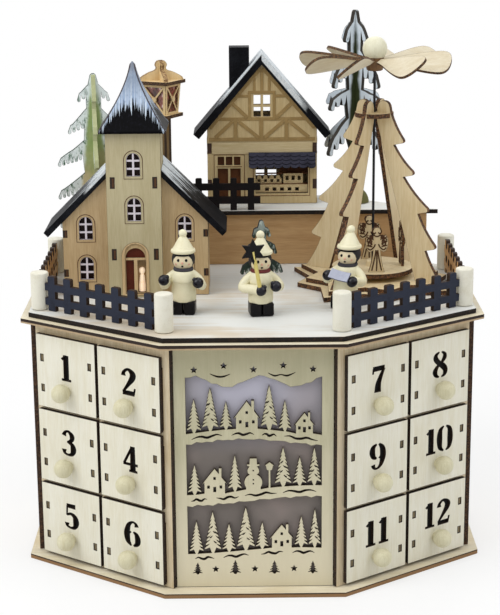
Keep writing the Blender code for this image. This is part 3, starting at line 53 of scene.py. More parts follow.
class Wire:
    # a node's output, or a sum of such outputs
    def __init__(self, paint, socket):
        self.paint, self.socket = paint, socket

    def sum(self, kind, first, second):
        return self.paint.node("ShaderNodeMath", {"operation": kind}, {"Value": first, "Value_001": second})

    def __add__(self, other):
        return self.sum("ADD", self, other)

    def __radd__(self, other):
        return self.sum("ADD", other, self)

    def __sub__(self, other):
        return self.sum("SUBTRACT", self, other)

    def __rsub__(self, other):
        return self.sum("SUBTRACT", other, self)

    def __mul__(self, other):
        return self.sum("MULTIPLY", self, other)

    def largest(self, other):
        return self.sum("MAXIMUM", self, other)

    def smallest(self, other):
        return self.sum("MINIMUM", self, other)

    def size(self):
        return self.sum("ABSOLUTE", self, 0.0)

    def between(self, low, high):
        # 0 below low, 1 above high, and a soft step in between
        return self.paint.node("ShaderNodeMapRange", {"interpolation_type": "SMOOTHSTEP"},
                               {"Value": self, "From Min": low, "From Max": high})


def named(sockets):
    # by name, where the first of a name counts, and by identifier
    found = {socket.name: socket for socket in reversed(sockets)}
    return {**found, **{socket.identifier: socket for socket in sockets}}


def tint(red, green, blue):
    # a colour picked on screen, 0 to 255, as the shader wants it
    shares = [part / 255 for part in (red, green, blue)]
    return (*(share / 12.92 if share <= 0.04045 else ((share + 0.055) / 1.055) ** 2.4 for share in shares), 1.0)


class Paint:
    # one material and its nodes; plain values go straight on the shader's sockets
    def __init__(self, name, roughness=0.6, **plain):
        self.material = bpy.data.materials.new(name)
        self.material.use_nodes = True
        self.tree = self.material.node_tree
        self.shader = self.tree.nodes["Principled BSDF"]
        self.shader.inputs["Roughness"].default_value = roughness
        for socket, value in plain.items():
            self.shader.inputs[socket.replace("_", " ")].default_value = value
        self.spot = self.node("ShaderNodeTexCoord", {}, {}, "Object")

    def node(self, kind, settings, values, output=None):
        made = self.tree.nodes.new(kind)
        for key, value in settings.items():
            setattr(made, key, value)
        sockets = named(made.inputs)
        for key, value in values.items():
            if isinstance(value, Wire):
                self.tree.links.new(value.socket, sockets[key])
            else:
                sockets[key].default_value = value
        return Wire(self, named(made.outputs)[output] if output else made.outputs[0])

    def vector(self, kind, first, second, output=None):
        return self.node("ShaderNodeVectorMath", {"operation": kind}, {"Vector": first, "Vector_001": second}, output)

    def axis(self, which):
        return self.node("ShaderNodeSeparateXYZ", {}, {"Vector": self.spot}, which)

    def clouds(self, scale, detail=3.0, rough=0.55, stretch=None):
        # noise over the object's own coordinates, which a stretch scales axis by axis
        spot = self.spot
        if stretch:
            spot = self.node("ShaderNodeMapping", {}, {"Vector": spot, "Scale": stretch})
        return self.node("ShaderNodeTexNoise", {}, {"Vector": spot, "Scale": scale, "Detail": detail,
                                                    "Roughness": rough}, "Fac")

    def mix(self, share, first, second):
        # colours are wires, or three values from 0 to 255
        first, second = (part if isinstance(part, Wire) else tint(*part) for part in (first, second))
        return self.node("ShaderNodeMix", {"data_type": "RGBA"},
                         {"Factor_Float": share, "A_Color": first, "B_Color": second}, "Result_Color")

    def facing(self, axis):
        # how squarely the surface faces an axis of its own object, either way
        normal = self.node("ShaderNodeNewGeometry", {}, {}, "True Normal")
        own = self.node("ShaderNodeVectorTransform", {"vector_type": "NORMAL", "convert_from": "WORLD",
                                                      "convert_to": "OBJECT"}, {"Vector": normal})
        return self.vector("DOT_PRODUCT", own, axis, "Value")

    def give(self, socket, value):
        self.tree.links.new(value.socket, self.shader.inputs[socket])

    def done(self, colour, rough, height, strength, distance):
        # colour, roughness and a fine relief, whose distance is in metres
        self.give("Base Color", colour)
        if rough:
            self.give("Roughness", rough)
        relief = {"Height": height, "Strength": strength, "Distance": distance}
        self.give("Normal", self.node("ShaderNodeBump", {}, relief))
        return self.material


grainStretch = {"x": (1.0, 15.0, 15.0), "z": (15.0, 15.0, 1.0)}


def grainOf(paint, along):
    # fine fibres, broad bands and large patches of a peeled veneer
    stretch = grainStretch[along]
    return (paint.clouds(95.0, 4.0, 0.6, stretch), paint.clouds(17.0, 2.0, 0.5, stretch),
            paint.clouds(32.0, 2.0, 0.5))


def scorchOf(paint, axis=None):
    # 1 on laser-cut edges: painted on new boards, read from the facing on plain plates
    if axis is None:
        return paint.node("ShaderNodeAttribute", {"attribute_name": "scorch"}, {}, "Fac")
    return 1.0 - paint.facing(axis).size().between(0.4, 0.6)


def plywood(name, pale, deep, along="z", axis=None, burnt=(44, 29, 19), toasted=(96, 66, 42), roughness=0.62,
            scorched=True, tanBelow=None):
    # veneer faces with soft streaks, small flecks, and scorched edges; an edge may turn tan below a level
    paint = Paint(name, roughness, Specular_IOR_Level=0.35)
    fibres, bands, patches = grainOf(paint, along)
    tone = (fibres * 0.5 + bands * 0.35 + patches * 0.3).between(0.38, 0.78)
    wood = paint.mix(tone, pale, deep)
    flecks = paint.clouds(120.0, 2.0, stretch=tuple(2.2 * part for part in grainStretch[along]))
    wood = paint.mix(flecks.between(0.66, 0.8) * 0.45, wood, [part * 0.72 for part in deep])
    rough, height = roughness + (fibres - 0.5) * 0.16, fibres * 0.5
    if scorched:
        char = paint.clouds(900.0, 3.0, 0.7)
        share = (scorchOf(paint, axis) + (char - 0.5) * 0.35).between(0.3, 0.8)
        if tanBelow is None:
            toast = char.between(0.42, 0.68)
        else:
            stretches = paint.clouds(24.0, 2.0, 0.5)
            toast = (char * 0.3 + stretches * 0.9 + (tanBelow - paint.axis("Z")) * (1 / (1 * mm))).between(0.3, 0.9)
        wood = paint.mix(share, wood, paint.mix(toast, burnt, toasted))
        rough, height = rough + share * 0.12, height + char * share
    return paint.done(wood, rough, height, 0.35, 0.0002)


def painted(name, main, worn, roughness=0.6, speck=0.3, coat=0.0, edgeTone=None, shine=0.3, glow=0.0):
    # brushed paint with thin spots and small wear, over cut edges that are scorched to a tone
    paint = Paint(name, roughness, Coat_Weight=coat, Specular_IOR_Level=shine)
    cloudy, fine = paint.clouds(120.0, 4.0, 0.6), paint.clouds(1100.0, 2.0, 0.6)
    colour = paint.mix((cloudy * 0.7 + fine * 0.3).between(0.45, 0.75) * speck, main, worn)
    rough = roughness + (fine - 0.5) * 0.14
    if edgeTone:
        share = (scorchOf(paint) + (fine - 0.5) * 0.5).between(0.45, 0.95)
        colour = paint.mix(share, colour, edgeTone)
        rough = rough + share * 0.1
    # painted light: glow makes the colour shine by itself, though the part holds no lamp
    if glow:
        paint.give("Emission Color", colour)
        paint.shader.inputs["Emission Strength"].default_value = glow
    return paint.done(colour, rough, cloudy * 0.4 + fine * 0.6, 0.25, 0.00015)


def glossy(name, main, other, roughness, scale, amount, metallic=0.0, shine=0.3):
    # smooth lacquer or plastic with a slight uneven flow
    paint = Paint(name, roughness, Metallic=metallic, Specular_IOR_Level=shine)
    flow = paint.clouds(scale, 3.0, 0.5)
    colour = paint.mix(flow.between(0.35, 0.75) * amount, main, other)
    return paint.done(colour, roughness + (flow - 0.5) * 0.12, flow, 0.12, 0.0001)


# Mesh work

def mms(*sizes):
    return tuple(size * mm for size in sizes)


def inMm(points, low=0.0):
    # an outline given in mm, raised to a level
    return [(x * mm, low + z * mm) for x, z in points]


def shown(name, data):
    item = bpy.data.objects.new(name, data)
    bpy.context.scene.collection.objects.link(item)
    return item


def meshOf(name, shape):
    mesh = bpy.data.meshes.new(name)
    shape.to_mesh(mesh)
    shape.free()
    return mesh


def workedOut(item):
    # the shape of an object with its modifiers or its curve's bevel
    graph = bpy.context.evaluated_depsgraph_get()
    mesh = bpy.data.meshes.new_from_object(item.evaluated_get(graph))
    bm = bmesh.new()
    bm.from_mesh(mesh)
    bpy.data.meshes.remove(mesh)
    return bm


def joined(shapes):
    whole = bmesh.new()
    for shape in shapes:
        layers = [one.verts.layers.float for one in (whole, shape)]
        if any("scorch" in layer for layer in layers):
            for layer in layers:
                if "scorch" not in layer:
                    layer.new("scorch")
        spare = meshOf("spare", shape)
        whole.from_mesh(spare)
        bpy.data.meshes.remove(spare)
    return whole


def coated(shape, index):
    for face in shape.faces:
        face.material_index = index
    return shape


def put(shape, at=(0, 0, 0), turn=0.0, tilt=0.0, lean=0.0):
    # leaned about Y, tilted about X, turned about Z, then moved
    place = Matrix.Translation(at) @ Matrix.Rotation(turn, 4, "Z")
    place = place @ Matrix.Rotation(tilt, 4, "X") @ Matrix.Rotation(lean, 4, "Y")
    bmesh.ops.transform(shape, matrix=place, verts=shape.verts)
    return shape


def flat(outline, holes=()):
    # a flat sheet with holes, in the XY plane
    bm = bmesh.new()
    edges = []
    for loop in [outline, *holes]:
        ring = [bm.verts.new((x, y, 0)) for x, y in loop]
        edges += [bm.edges.new((ring[i - 1], ring[i])) for i in range(len(ring))]
    bmesh.ops.triangle_fill(bm, use_beauty=True, use_dissolve=False, edges=edges, normal=(0, 0, 1))
    return bm


def thickened(bm, thick):
    grown = bmesh.ops.extrude_face_region(bm, geom=bm.faces[:])
    top = [item for item in grown["geom"] if isinstance(item, bmesh.types.BMVert)]
    bmesh.ops.translate(bm, verts=top, vec=(0, 0, thick))
    bmesh.ops.recalc_face_normals(bm, faces=bm.faces)
    return bm


def singed(bm, axis=(0, 0, 1), rim=0.3 * mm):
    # marks the cut edges of a flat board, with a narrow singed rim on its faces
    axis = Vector(axis)
    mark = bm.verts.layers.float.get("scorch") or bm.verts.layers.float.new("scorch")
    bm.normal_update()
    for way in (1, -1):
        faces = [face for face in bm.faces if face.normal.dot(axis) * way > 0.9]
        if faces and rim:
            # in triangles first, since a many-sided face with a tangled rim doesn't fill
            faces = bmesh.ops.triangulate(bm, faces=faces)["faces"]
            bmesh.ops.inset_region(bm, faces=faces, thickness=rim, use_even_offset=False, use_boundary=True)
    bm.normal_update()
    for vert in bm.verts:
        vert[mark] = 0.0
    for face in bm.faces:
        if abs(face.normal.dot(axis)) < 0.5:
            for vert in face.verts:
                vert[mark] = 1.0
    return bm


def board(outline, thick, holes=(), rim=0.3 * mm):
    return singed(thickened(flat(outline, holes), thick), rim=rim)


def stood(bm, front=0.0):
    # a board drawn flat, stood up so that its face looks along -Y from front
    put(bm, (0, front, 0), tilt=quarter)
    low = min(vert.co.y for vert in bm.verts)
    bmesh.ops.translate(bm, verts=bm.verts, vec=(0, front - low, 0))
    return bm


def cut(base, tools):
    # one boolean difference, worked out at once
    body, tool = (shown(name, meshOf(name, shape)) for name, shape in (("cutBody", base), ("cutTool", joined(tools))))
    step = body.modifiers.new("cut", "BOOLEAN")
    step.operation = "DIFFERENCE"
    step.solver = "EXACT"
    step.use_self = True
    step.object = tool
    bm = workedOut(body)
    for item in (body, tool):
        spare = item.data
        bpy.data.objects.remove(item)
        bpy.data.meshes.remove(spare)
    bmesh.ops.remove_doubles(bm, verts=bm.verts, dist=0.004 * mm)
    return bm


def brick(width, depth, height, at=(0, 0, 0), soft=0.0, segments=1):
    # at is the middle of its underside; soft rounds its edges
    bm = bmesh.new()
    bmesh.ops.create_cube(bm, size=1.0, matrix=Matrix.Translation((at[0], at[1], at[2] + height / 2))
                          @ Matrix.Diagonal((width, depth, height, 1)))
    if soft:
        bm.normal_update()
        bmesh.ops.bevel(bm, geom=bm.edges[:], offset=soft, offset_type="OFFSET", segments=segments, profile=0.5,
                        affect="EDGES", material=-1, clamp_overlap=True)
    return bm


def pellet(radius, at, detail=2, squash=(1, 1, 1)):
    # a small ball, squashed along the axes
    bm = bmesh.new()
    bmesh.ops.create_icosphere(bm, subdivisions=detail, radius=radius,
                               matrix=Matrix.Translation(at) @ Matrix.Diagonal((*squash, 1)))
    return bm


def spun(profile, sides=24):
    # a profile of (radius, height) points, from the axis and back to it
    bm = bmesh.new()
    line = [bm.verts.new((radius, 0, height)) for radius, height in profile]
    edges = [bm.edges.new(pair) for pair in zip(line, line[1:])]
    bmesh.ops.spin(bm, geom=line + edges, cent=(0, 0, 0), axis=(0, 0, 1), angle=2 * math.pi,
                   steps=sides, use_merge=True)
    bmesh.ops.remove_doubles(bm, verts=bm.verts, dist=0.003 * mm)
    bmesh.ops.recalc_face_normals(bm, faces=bm.faces)
    return bm


def arc(radius, start, end, steps, centre=(0.0, 0.0)):
    angles = [math.radians(start + (end - start) * step / steps) for step in range(steps + 1)]
    return [(centre[0] + radius * math.cos(angle), centre[1] + radius * math.sin(angle)) for angle in angles]


def smoothLine(points, steps=6):
    # a soft line through points of any number of values
    last = len(points) - 1
    line = []
    for index in range(last):
        four = [points[max(0, min(last, index + shift))] for shift in (-1, 0, 1, 2)]
        for step in range(steps):
            t = step / steps
            line.append(tuple(0.5 * (2 * b + (c - a) * t + (2 * a - 5 * b + 4 * c - d) * t * t
                                     + (3 * b - a - 3 * c + d) * t ** 3) for a, b, c, d in zip(*four)))
    return line + [tuple(points[-1])]


def tube(points, radius, closed=False, sides=1):
    # a thin line drawn as a curve, made a mesh
    curve = bpy.data.curves.new("line", "CURVE")
    curve.dimensions = "3D"
    curve.bevel_depth = radius
    curve.bevel_resolution = sides
    curve.use_fill_caps = True
    strand = curve.splines.new("POLY")
    strand.points.add(len(points) - 1)
    for knot, point in zip(strand.points, points):
        knot.co = (*point, 1.0)
    strand.use_cyclic_u = closed
    item = shown("line", curve)
    bm = workedOut(item)
    bpy.data.objects.remove(item)
    bpy.data.curves.remove(curve)
    bmesh.ops.remove_doubles(bm, verts=bm.verts, dist=0.002 * mm)
    bmesh.ops.recalc_face_normals(bm, faces=bm.faces)
    return bm


def rectangle(width, height, low=0.0, middle=0.0):
    half = width / 2
    return [(middle - half, low), (middle + half, low), (middle + half, low + height), (middle - half, low + height)]


def pane(*sizes):
    # a rectangle with its sizes in mm
    return rectangle(*mms(*sizes))


def mirrored(side, middle=0.0, tips=()):
    # half an outline, what lies on its middle line, and the other half back to the start
    return [*side, *tips, *((2 * middle - x, y) for x, y in reversed(side))]


def piece(name, shape, materials, body, node, smooth=None):
    # a finished piece in its own place, riding on a body
    mesh = meshOf(name, shape)
    for material in materials:
        mesh.materials.append(material)
    if smooth:
        mesh.shade_smooth()
        mesh.set_sharp_from_angle(angle=math.radians(smooth))
    item = shown(name, mesh)
    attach(item, body)
    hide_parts(node)


# Plain plates of the chest, kept from the frame

chestLook = {
    "pale": (226, 218, 196),
    "deep": (206, 192, 160),
    "framePale": (216, 202, 174),
    "frameDeep": (190, 170, 134),
    "wall": (202, 166, 120),
    "wallDeep": (178, 140, 94),
    "snow": (216, 217, 213),
    "snowThin": (196, 180, 154),
    "slantTurn": math.radians(36),
}


def snowyPlate(name, look):
    # white paint brushed over the plate, thin and warm in places
    paint = Paint(name, 0.75, Specular_IOR_Level=0.25)
    fibres, bands, patches = grainOf(paint, "x")
    large = paint.clouds(11.0, 2.0, 0.5, (0.7, 1.0, 1.0))
    thin = (large * 0.55 + patches * 0.3 + bands * 0.3 + fibres * 0.1).between(0.58, 0.78)
    top = paint.mix(thin * 0.75, look["snow"], look["snowThin"])
    crisp = paint.clouds(900.0, 3.0, 0.7)
    side = paint.mix(crisp.between(0.5, 0.75), (18, 13, 10), (66, 46, 32))
    colour = paint.mix(scorchOf(paint, (0, 0, 1)), top, side)
    return paint.done(colour, 0.72 + (fibres - 0.5) * 0.2, patches * 0.5 + crisp * 0.5, 0.3, 0.0003)


def plate(name, material):
    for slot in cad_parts[name].material_slots:
        slot.material = material


def backingSheet():
    # a hazy sheet, lit from behind towards its upper middle
    paint = Paint("backingSheet", 0.7)
    lift = paint.axis("Z").between(88 * mm, 136 * mm)
    near = 1.0 - (paint.axis("X") + 6 * mm).size().between(8 * mm, 42 * mm)
    sheet = paint.mix(paint.clouds(26.0, 2.0, 0.5).between(0.4, 0.7), (112, 104, 98), (136, 124, 118))
    colour = paint.mix(lift * (0.45 + near * 0.5), sheet, (190, 188, 202))
    return paint.done(colour, None, paint.clouds(900.0), 0.1, 0.0001)


def dressPlates(look):
    skin, frameTones, up = (look["pale"], look["deep"]), (look["framePale"], look["frameDeep"]), (0, 0, 1)
    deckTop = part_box("deck_lower")[1][2]
    shelfWood = plywood("shelfPlywood", *frameTones, "x", axis=up)
    wallWood = plywood("wallPlywood", *frameTones, axis=(1, 0, 0))
    coats = {
        "base_plate": plywood("basePlywood", *skin, "x", axis=up, burnt=(44, 28, 18), toasted=(140, 106, 70),
                              tanBelow=2.2 * mm),
        "deck_lower": plywood("deckPlywood", *skin, "x", axis=up, burnt=(36, 22, 14), toasted=(178, 154, 122),
                              tanBelow=deckTop - 2 * mm),
        "shelf_lower": shelfWood,
        "shelf_upper": shelfWood,
        "deck_upper": snowyPlate("deckSnow", look),
        "terrace_top": snowyPlate("terraceSnow", look),
        "side_wall_left": wallWood,
        "side_wall_right": wallWood,
        "back_panel": plywood("backPlywood", *skin, axis=(0, 1, 0)),
        "terrace_wall": plywood("terracePlywood", look["wall"], look["wallDeep"], "x", scorched=False),
        "battery_box": glossy("blackPlastic", (22, 22, 24), (40, 40, 42), 0.45, 1500.0, 0.8),
        "switch_slider": glossy("switchPlastic", (14, 14, 15), (34, 34, 36), 0.35, 1500.0, 0.8),
        "pyramid_shaft": glossy("shaftSteel", (26, 26, 28), (48, 48, 52), 0.35, 800.0, 0.6, metallic=0.6),
        "light_diffuser": backingSheet(),
    }
    # the face frames' cut edges are near-black: partly the laser's own burn, partly painted shade where they show in
    # the gaps beside the drawers
    for name, turn in (("front_left", -1), ("front_right", 1), ("back_left", 1), ("back_right", -1)):
        angle = turn * look["slantTurn"]
        coats["face_frame_" + name] = plywood("frame_" + name, *frameTones, burnt=(24, 17, 12),
                                              axis=(math.sin(angle), -math.cos(angle), 0), toasted=(66, 45, 28))
    for name, material in coats.items():
        plate(name, material)


dressPlates(chestLook)
print("plates dressed")


# Drawers

drawerLook = {
    "width": 50 * mm,
    "height": 49 * mm,
    "thick": 3 * mm,
    "boxWidth": 45 * mm,
    "boxLength": 60 * mm,
    "boxLow": 1.1 * mm,
    "boxHeight": 41 * mm,
    "wall": 3 * mm,
    "knobRadius": 6.2 * mm,
    "knobRise": 13.5 * mm,
    "digitHeight": 17.6 * mm,
    "digitLow": 20.8 * mm,
    "digitDepth": 4 * mm,
    "digitGap": 5,
    "digitWeight": 1.2,
    "digitSpread": 1.26,
    "slot": (2.9 * mm, 5.0 * mm),
    "slotFromEdge": 4.7 * mm,
    "slotRises": (12.8 * mm, 33.3 * mm),
    # turn, side and middle of each bank's face in mm, then the drawers' places on it in mm
    "banks": ((-36, -1, (-96.92, -87.96)), (36, 1, (96.92, -87.96)), (144, -1, (96.92, 87.96)),
              (216, 1, (-96.92, 87.96))),
    "across": 52.4,
    "aside": 1.2,
    "lowestRow": 5.2,
    "rowRise": 51.3,
    "proud": 0.3 * mm,
    "pale": (228, 225, 210),
    "deep": (217, 211, 188),
}

# strokes of each numeral as (across, up, width), on a body 100 tall; breaks are the stencil's bridges
numerals = {
    "0": (60, [[(25, 98, 4), (12, 84, 13), (9, 50, 18), (12, 16, 13), (25, 2, 4)],
               [(35, 2, 4), (48, 16, 13), (51, 50, 18), (48, 84, 13), (35, 98, 4)]]),
    "1": (44, [[(24, 3, 17), (24, 97, 17)], [(6, 3, 7), (42, 3, 7)], [(26, 95, 8), (8, 80, 7)]]),
    "2": (56, [[(11, 70, 14), (13, 84, 9), (28, 95, 8), (44, 82, 17), (43, 64, 17), (26, 36, 10), (9, 10, 6)],
               [(7, 7, 14), (50, 7, 14)], [(48, 4, 5), (52, 27, 5)]]),
    "3": (56, [[(12, 77, 15), (17, 91, 8), (30, 95, 8), (43, 80, 15), (40, 62, 12), (24, 53, 5)],
               [(24, 54, 5), (42, 46, 13), (47, 27, 18), (41, 9, 12), (27, 4, 7), (13, 9, 8), (11, 23, 15)]]),
    "4": (58, [[(38, 3, 17), (38, 97, 14)], [(24, 3, 7), (54, 3, 7)], [(36, 95, 7), (6, 30, 7)],
               [(3, 28, 8), (56, 28, 8)]]),
    "5": (56, [[(12, 91, 13), (46, 91, 15)], [(14, 92, 5), (12, 52, 5)],
               [(12, 54, 6), (28, 60, 9), (43, 50, 15), (47, 29, 19), (41, 9, 12), (27, 4, 7), (13, 9, 8),
                (11, 22, 15)]]),
    "6": (58, [[(46, 80, 13), (42, 92, 8), (30, 96, 6), (16, 82, 12), (9, 50, 18), (12, 20, 15), (24, 3, 5)],
               [(33, 3, 5), (46, 14, 14), (49, 32, 17), (44, 50, 13), (33, 58, 5)], [(24, 58, 4), (14, 48, 7)]]),
    "7": (56, [[(7, 90, 15), (50, 90, 15)], [(9, 92, 5), (7, 72, 5)],
               [(48, 88, 8), (36, 60, 12), (27, 32, 17), (25, 2, 20)]]),
    "8": (58, [[(24, 98, 4), (12, 88, 11), (11, 74, 15), (22, 58, 15), (40, 42, 17), (49, 26, 15), (46, 10, 11),
                (34, 2, 4)],
               [(34, 98, 4), (45, 88, 10), (45, 74, 13), (34, 57, 9), (18, 43, 10), (9, 26, 15), (13, 10, 11),
                (24, 2, 4)]]),
    "9": (58, [[(12, 20, 13), (16, 8, 8), (28, 4, 6), (42, 18, 12), (49, 50, 18), (46, 80, 15), (34, 97, 5)],
               [(25, 97, 5), (12, 86, 14), (9, 68, 17), (14, 50, 13), (25, 42, 5)], [(34, 42, 4), (44, 52, 7)]]),
}


def ribbon(stroke, weight=1.0):
    # outline of a stroke whose width changes along it
    line = smoothLine(stroke, 5) if len(stroke) > 2 else stroke
    left, right = [], []
    for index, (x, y, width) in enumerate(line):
        before = line[max(0, index - 1)]
        after = line[min(len(line) - 1, index + 1)]
        way = Vector((after[0] - before[0], after[1] - before[1])).normalized()
        half = width * weight / 2
        left.append((x - way.y * half, y + way.x * half))
        right.append((x + way.y * half, y - way.x * half))
    return left + right[::-1]


def numberPunch(number, look):
    glyphs = [numerals[digit] for digit in str(number)]
    scale, gap, punches = look["digitHeight"] / 100, look["digitGap"], []
    start = -(sum(width for width, _ in glyphs) + gap * (len(glyphs) - 1)) / 2
    for width, strokes in glyphs:
        for stroke in strokes:
            outline = [((start + x) * scale * look["digitSpread"], y * scale + look["digitLow"])
                       for x, y in ribbon(stroke, look["digitWeight"])]
            punches.append(stood(thickened(flat(outline), look["digitDepth"] + 1 * mm), -look["thick"] - 1 * mm))
        start += width + gap
    return punches


def drawerFront(number, look):
    # the front's outer face is at -thick, and its rear face at 0
    sheet = stood(thickened(flat(rectangle(look["width"], look["height"])), look["thick"]), -look["thick"])
    tools = numberPunch(number, look)
    plugs = []
    wide, tall = look["slot"]
    for hand in (-1, 1):
        for rise in look["slotRises"]:
            across, low = hand * (look["width"] / 2 - look["slotFromEdge"]), rise - tall / 2
            tools.append(brick(wide, 2 * mm, tall, (across, -look["thick"] - 0.2 * mm, low)))
            plug = board(rectangle(wide - 0.6 * mm, tall - 0.6 * mm, low + 0.3 * mm, across), 1.4 * mm, rim=0.8 * mm)
            plugs.append(coated(stood(plug, -look["thick"] + 0.35 * mm), 3))
    return [singed(cut(sheet, tools), (0, 1, 0), 0.28 * mm), *plugs]


def drawerBox(look):
    # sides, back and bottom, open at the top; the front board closes the near end
    wide, long, tall, wall = look["boxWidth"], look["boxLength"], look["boxHeight"], look["wall"]
    half = wide / 2 - wall
    shapes = [put(put(board([(0, 0), (long, 0), (long, tall), (0, tall)], wall), tilt=quarter),
                  (hand * (wide / 2 - wall / 2) + wall / 2, 0, 0), quarter) for hand in (-1, 1)]
    shapes.append(stood(board(rectangle(wide - 2 * wall, tall), wall), long - wall))
    shapes.append(board([(-half, 0), (half, 0), (half, long - wall), (-half, long - wall)], wall))
    return [put(shape, (0, 0, look["boxLow"])) for shape in shapes]


def drawerKnob(look):
    radius = look["knobRadius"]
    neck, end = radius * 0.6, -radius * 1.03
    ball = spun([(0, radius)] + arc(radius, 86, -52, 12) + [(neck, -radius * 0.8), (neck, end), (0, end)], 28)
    return put(ball, (0, -look["thick"] - radius + 0.35 * mm, look["knobRise"]), tilt=quarter)


def buildDrawers(look):
    coats = [
        # their cut edges are near-black: partly the laser's own burn, partly painted shade for the dark gaps between
        # the drawers
        plywood("drawerPlywood", look["pale"], look["deep"], burnt=(24, 17, 12), toasted=(64, 44, 30)),
        plywood("knobWood", (216, 211, 182), (196, 188, 152), scorched=False, roughness=0.45),
        glossy("paintedShadeCard", (16, 14, 14), (28, 25, 24), 0.85, 600.0, 0.7),
        plywood("tenonEnds", (122, 108, 78), (70, 58, 40), "x", burnt=(24, 17, 12), toasted=(46, 32, 22)),
        plywood("drawerBoxPlywood", (214, 198, 162), (188, 168, 126), "x"),
    ]
    for number in range(1, 25):
        name = "drawer_%02d" % number
        # a black card behind the cut numerals: painted shade, standing for the dark inside of the drawer seen through
        # the cuts
        shadeCard = brick(26 * mm, 0.3 * mm, 22 * mm, (0, -0.19 * mm, look["digitLow"] - 2 * mm))
        shapes = drawerFront(number, look) + [coated(drawerKnob(look), 1)]
        whole = joined(shapes + [coated(part, 4) for part in drawerBox(look)] + [coated(shadeCard, 2)])
        turn, place = drawerPlace(number, look)
        piece("drawer%02d" % number, put(whole, place, turn), coats, name + "_body", name, smooth=40)


def drawerPlace(number, look):
    # bank by bank, top row first
    bank, row, column = (number - 1) // 6, (number - 1) % 6 // 2, (number - 1) % 2
    angle, hand, (x, y) = look["banks"][bank]
    shift = Vector((((column - 0.5) * look["across"] + look["aside"] * hand) * mm, -look["proud"], 0))
    shift.rotate(Matrix.Rotation(math.radians(angle), 3, "Z"))
    rise = (look["lowestRow"] + look["rowRise"] * (2 - row)) * mm
    return math.radians(angle), (x * mm + shift.x, y * mm + shift.y, rise)


buildDrawers(drawerLook)
print("drawers made")


# Shapes shared by the pieces on the decks

def archOutline(width, height, low, middle=0.0):
    # upright sides and a round head
    half = width / 2
    return [(middle - half, low), (middle + half, low)] + arc(half, 0, 180, 14, (middle, low + height - half))


def scored(points, front, width=0.26 * mm, closed=False):
    # a burnt line sunk half its width into a face that looks along -Y
    return tube([(x, front, z) for x, z in points], width, closed)


def strip(start, end, width, proud):
    # a flat timber between two points of a wall face
    way = Vector((end[0] - start[0], end[1] - start[1]))
    bar = brick(way.length, proud, width, (0, 0, -width / 2), 0.12 * mm)
    bmesh.ops.rotate(bar, cent=(0, 0, 0), matrix=Matrix.Rotation(-math.atan2(way.y, way.x), 3, "Y"), verts=bar.verts)
    return put(bar, ((start[0] + end[0]) / 2, -proud / 2 + 0.05 * mm, (start[1] + end[1]) / 2))


def lofted(rings):
    # one outline grown from ring to ring, closed at both ends
    bm = bmesh.new()
    ring = [bm.verts.new(point) for point in rings[0]]
    bm.faces.new(ring)
    for points in rings[1:]:
        order = {tuple(vert.co): index for index, vert in enumerate(ring)}
        edges = [bm.edges.get((ring[i - 1], ring[i])) for i in range(len(ring))]
        grown = bmesh.ops.extrude_edge_only(bm, edges=edges)
        ring = [item for item in grown["geom"] if isinstance(item, bmesh.types.BMVert)]
        ring.sort(key=lambda vert: order[tuple(vert.co)])
        for vert, point in zip(ring, points):
            vert.co = point
    bm.faces.new(ring)
    bmesh.ops.recalc_face_normals(bm, faces=bm.faces)
    return bm


def gable(look):
    half, eaves = look["width"] / 2, look["eaves"]
    return [(-half, 0), (half, 0), (half, eaves), (0, eaves + half * math.tan(look["pitch"])), (-half, eaves)]


def sideWall(hand, wide, deep, tall, wall, front=0.0):
    # a side wall between the front wall and the back wall
    side = stood(board(rectangle(deep - 2 * wall + 0.2 * mm, tall), wall), 0)
    return put(put(side, turn=quarter * hand), (hand * wide / 2, front + deep / 2, 0))


def block(size, at, coat, soft=0.0, front=0.0):
    # a coated brick with its sizes in mm, behind a front
    x, y, z = mms(*at)
    return coated(brick(*mms(*size), (x, front + y, z), soft * mm), coat)


# Front panel: three bands of winter woods cut out of the sheet

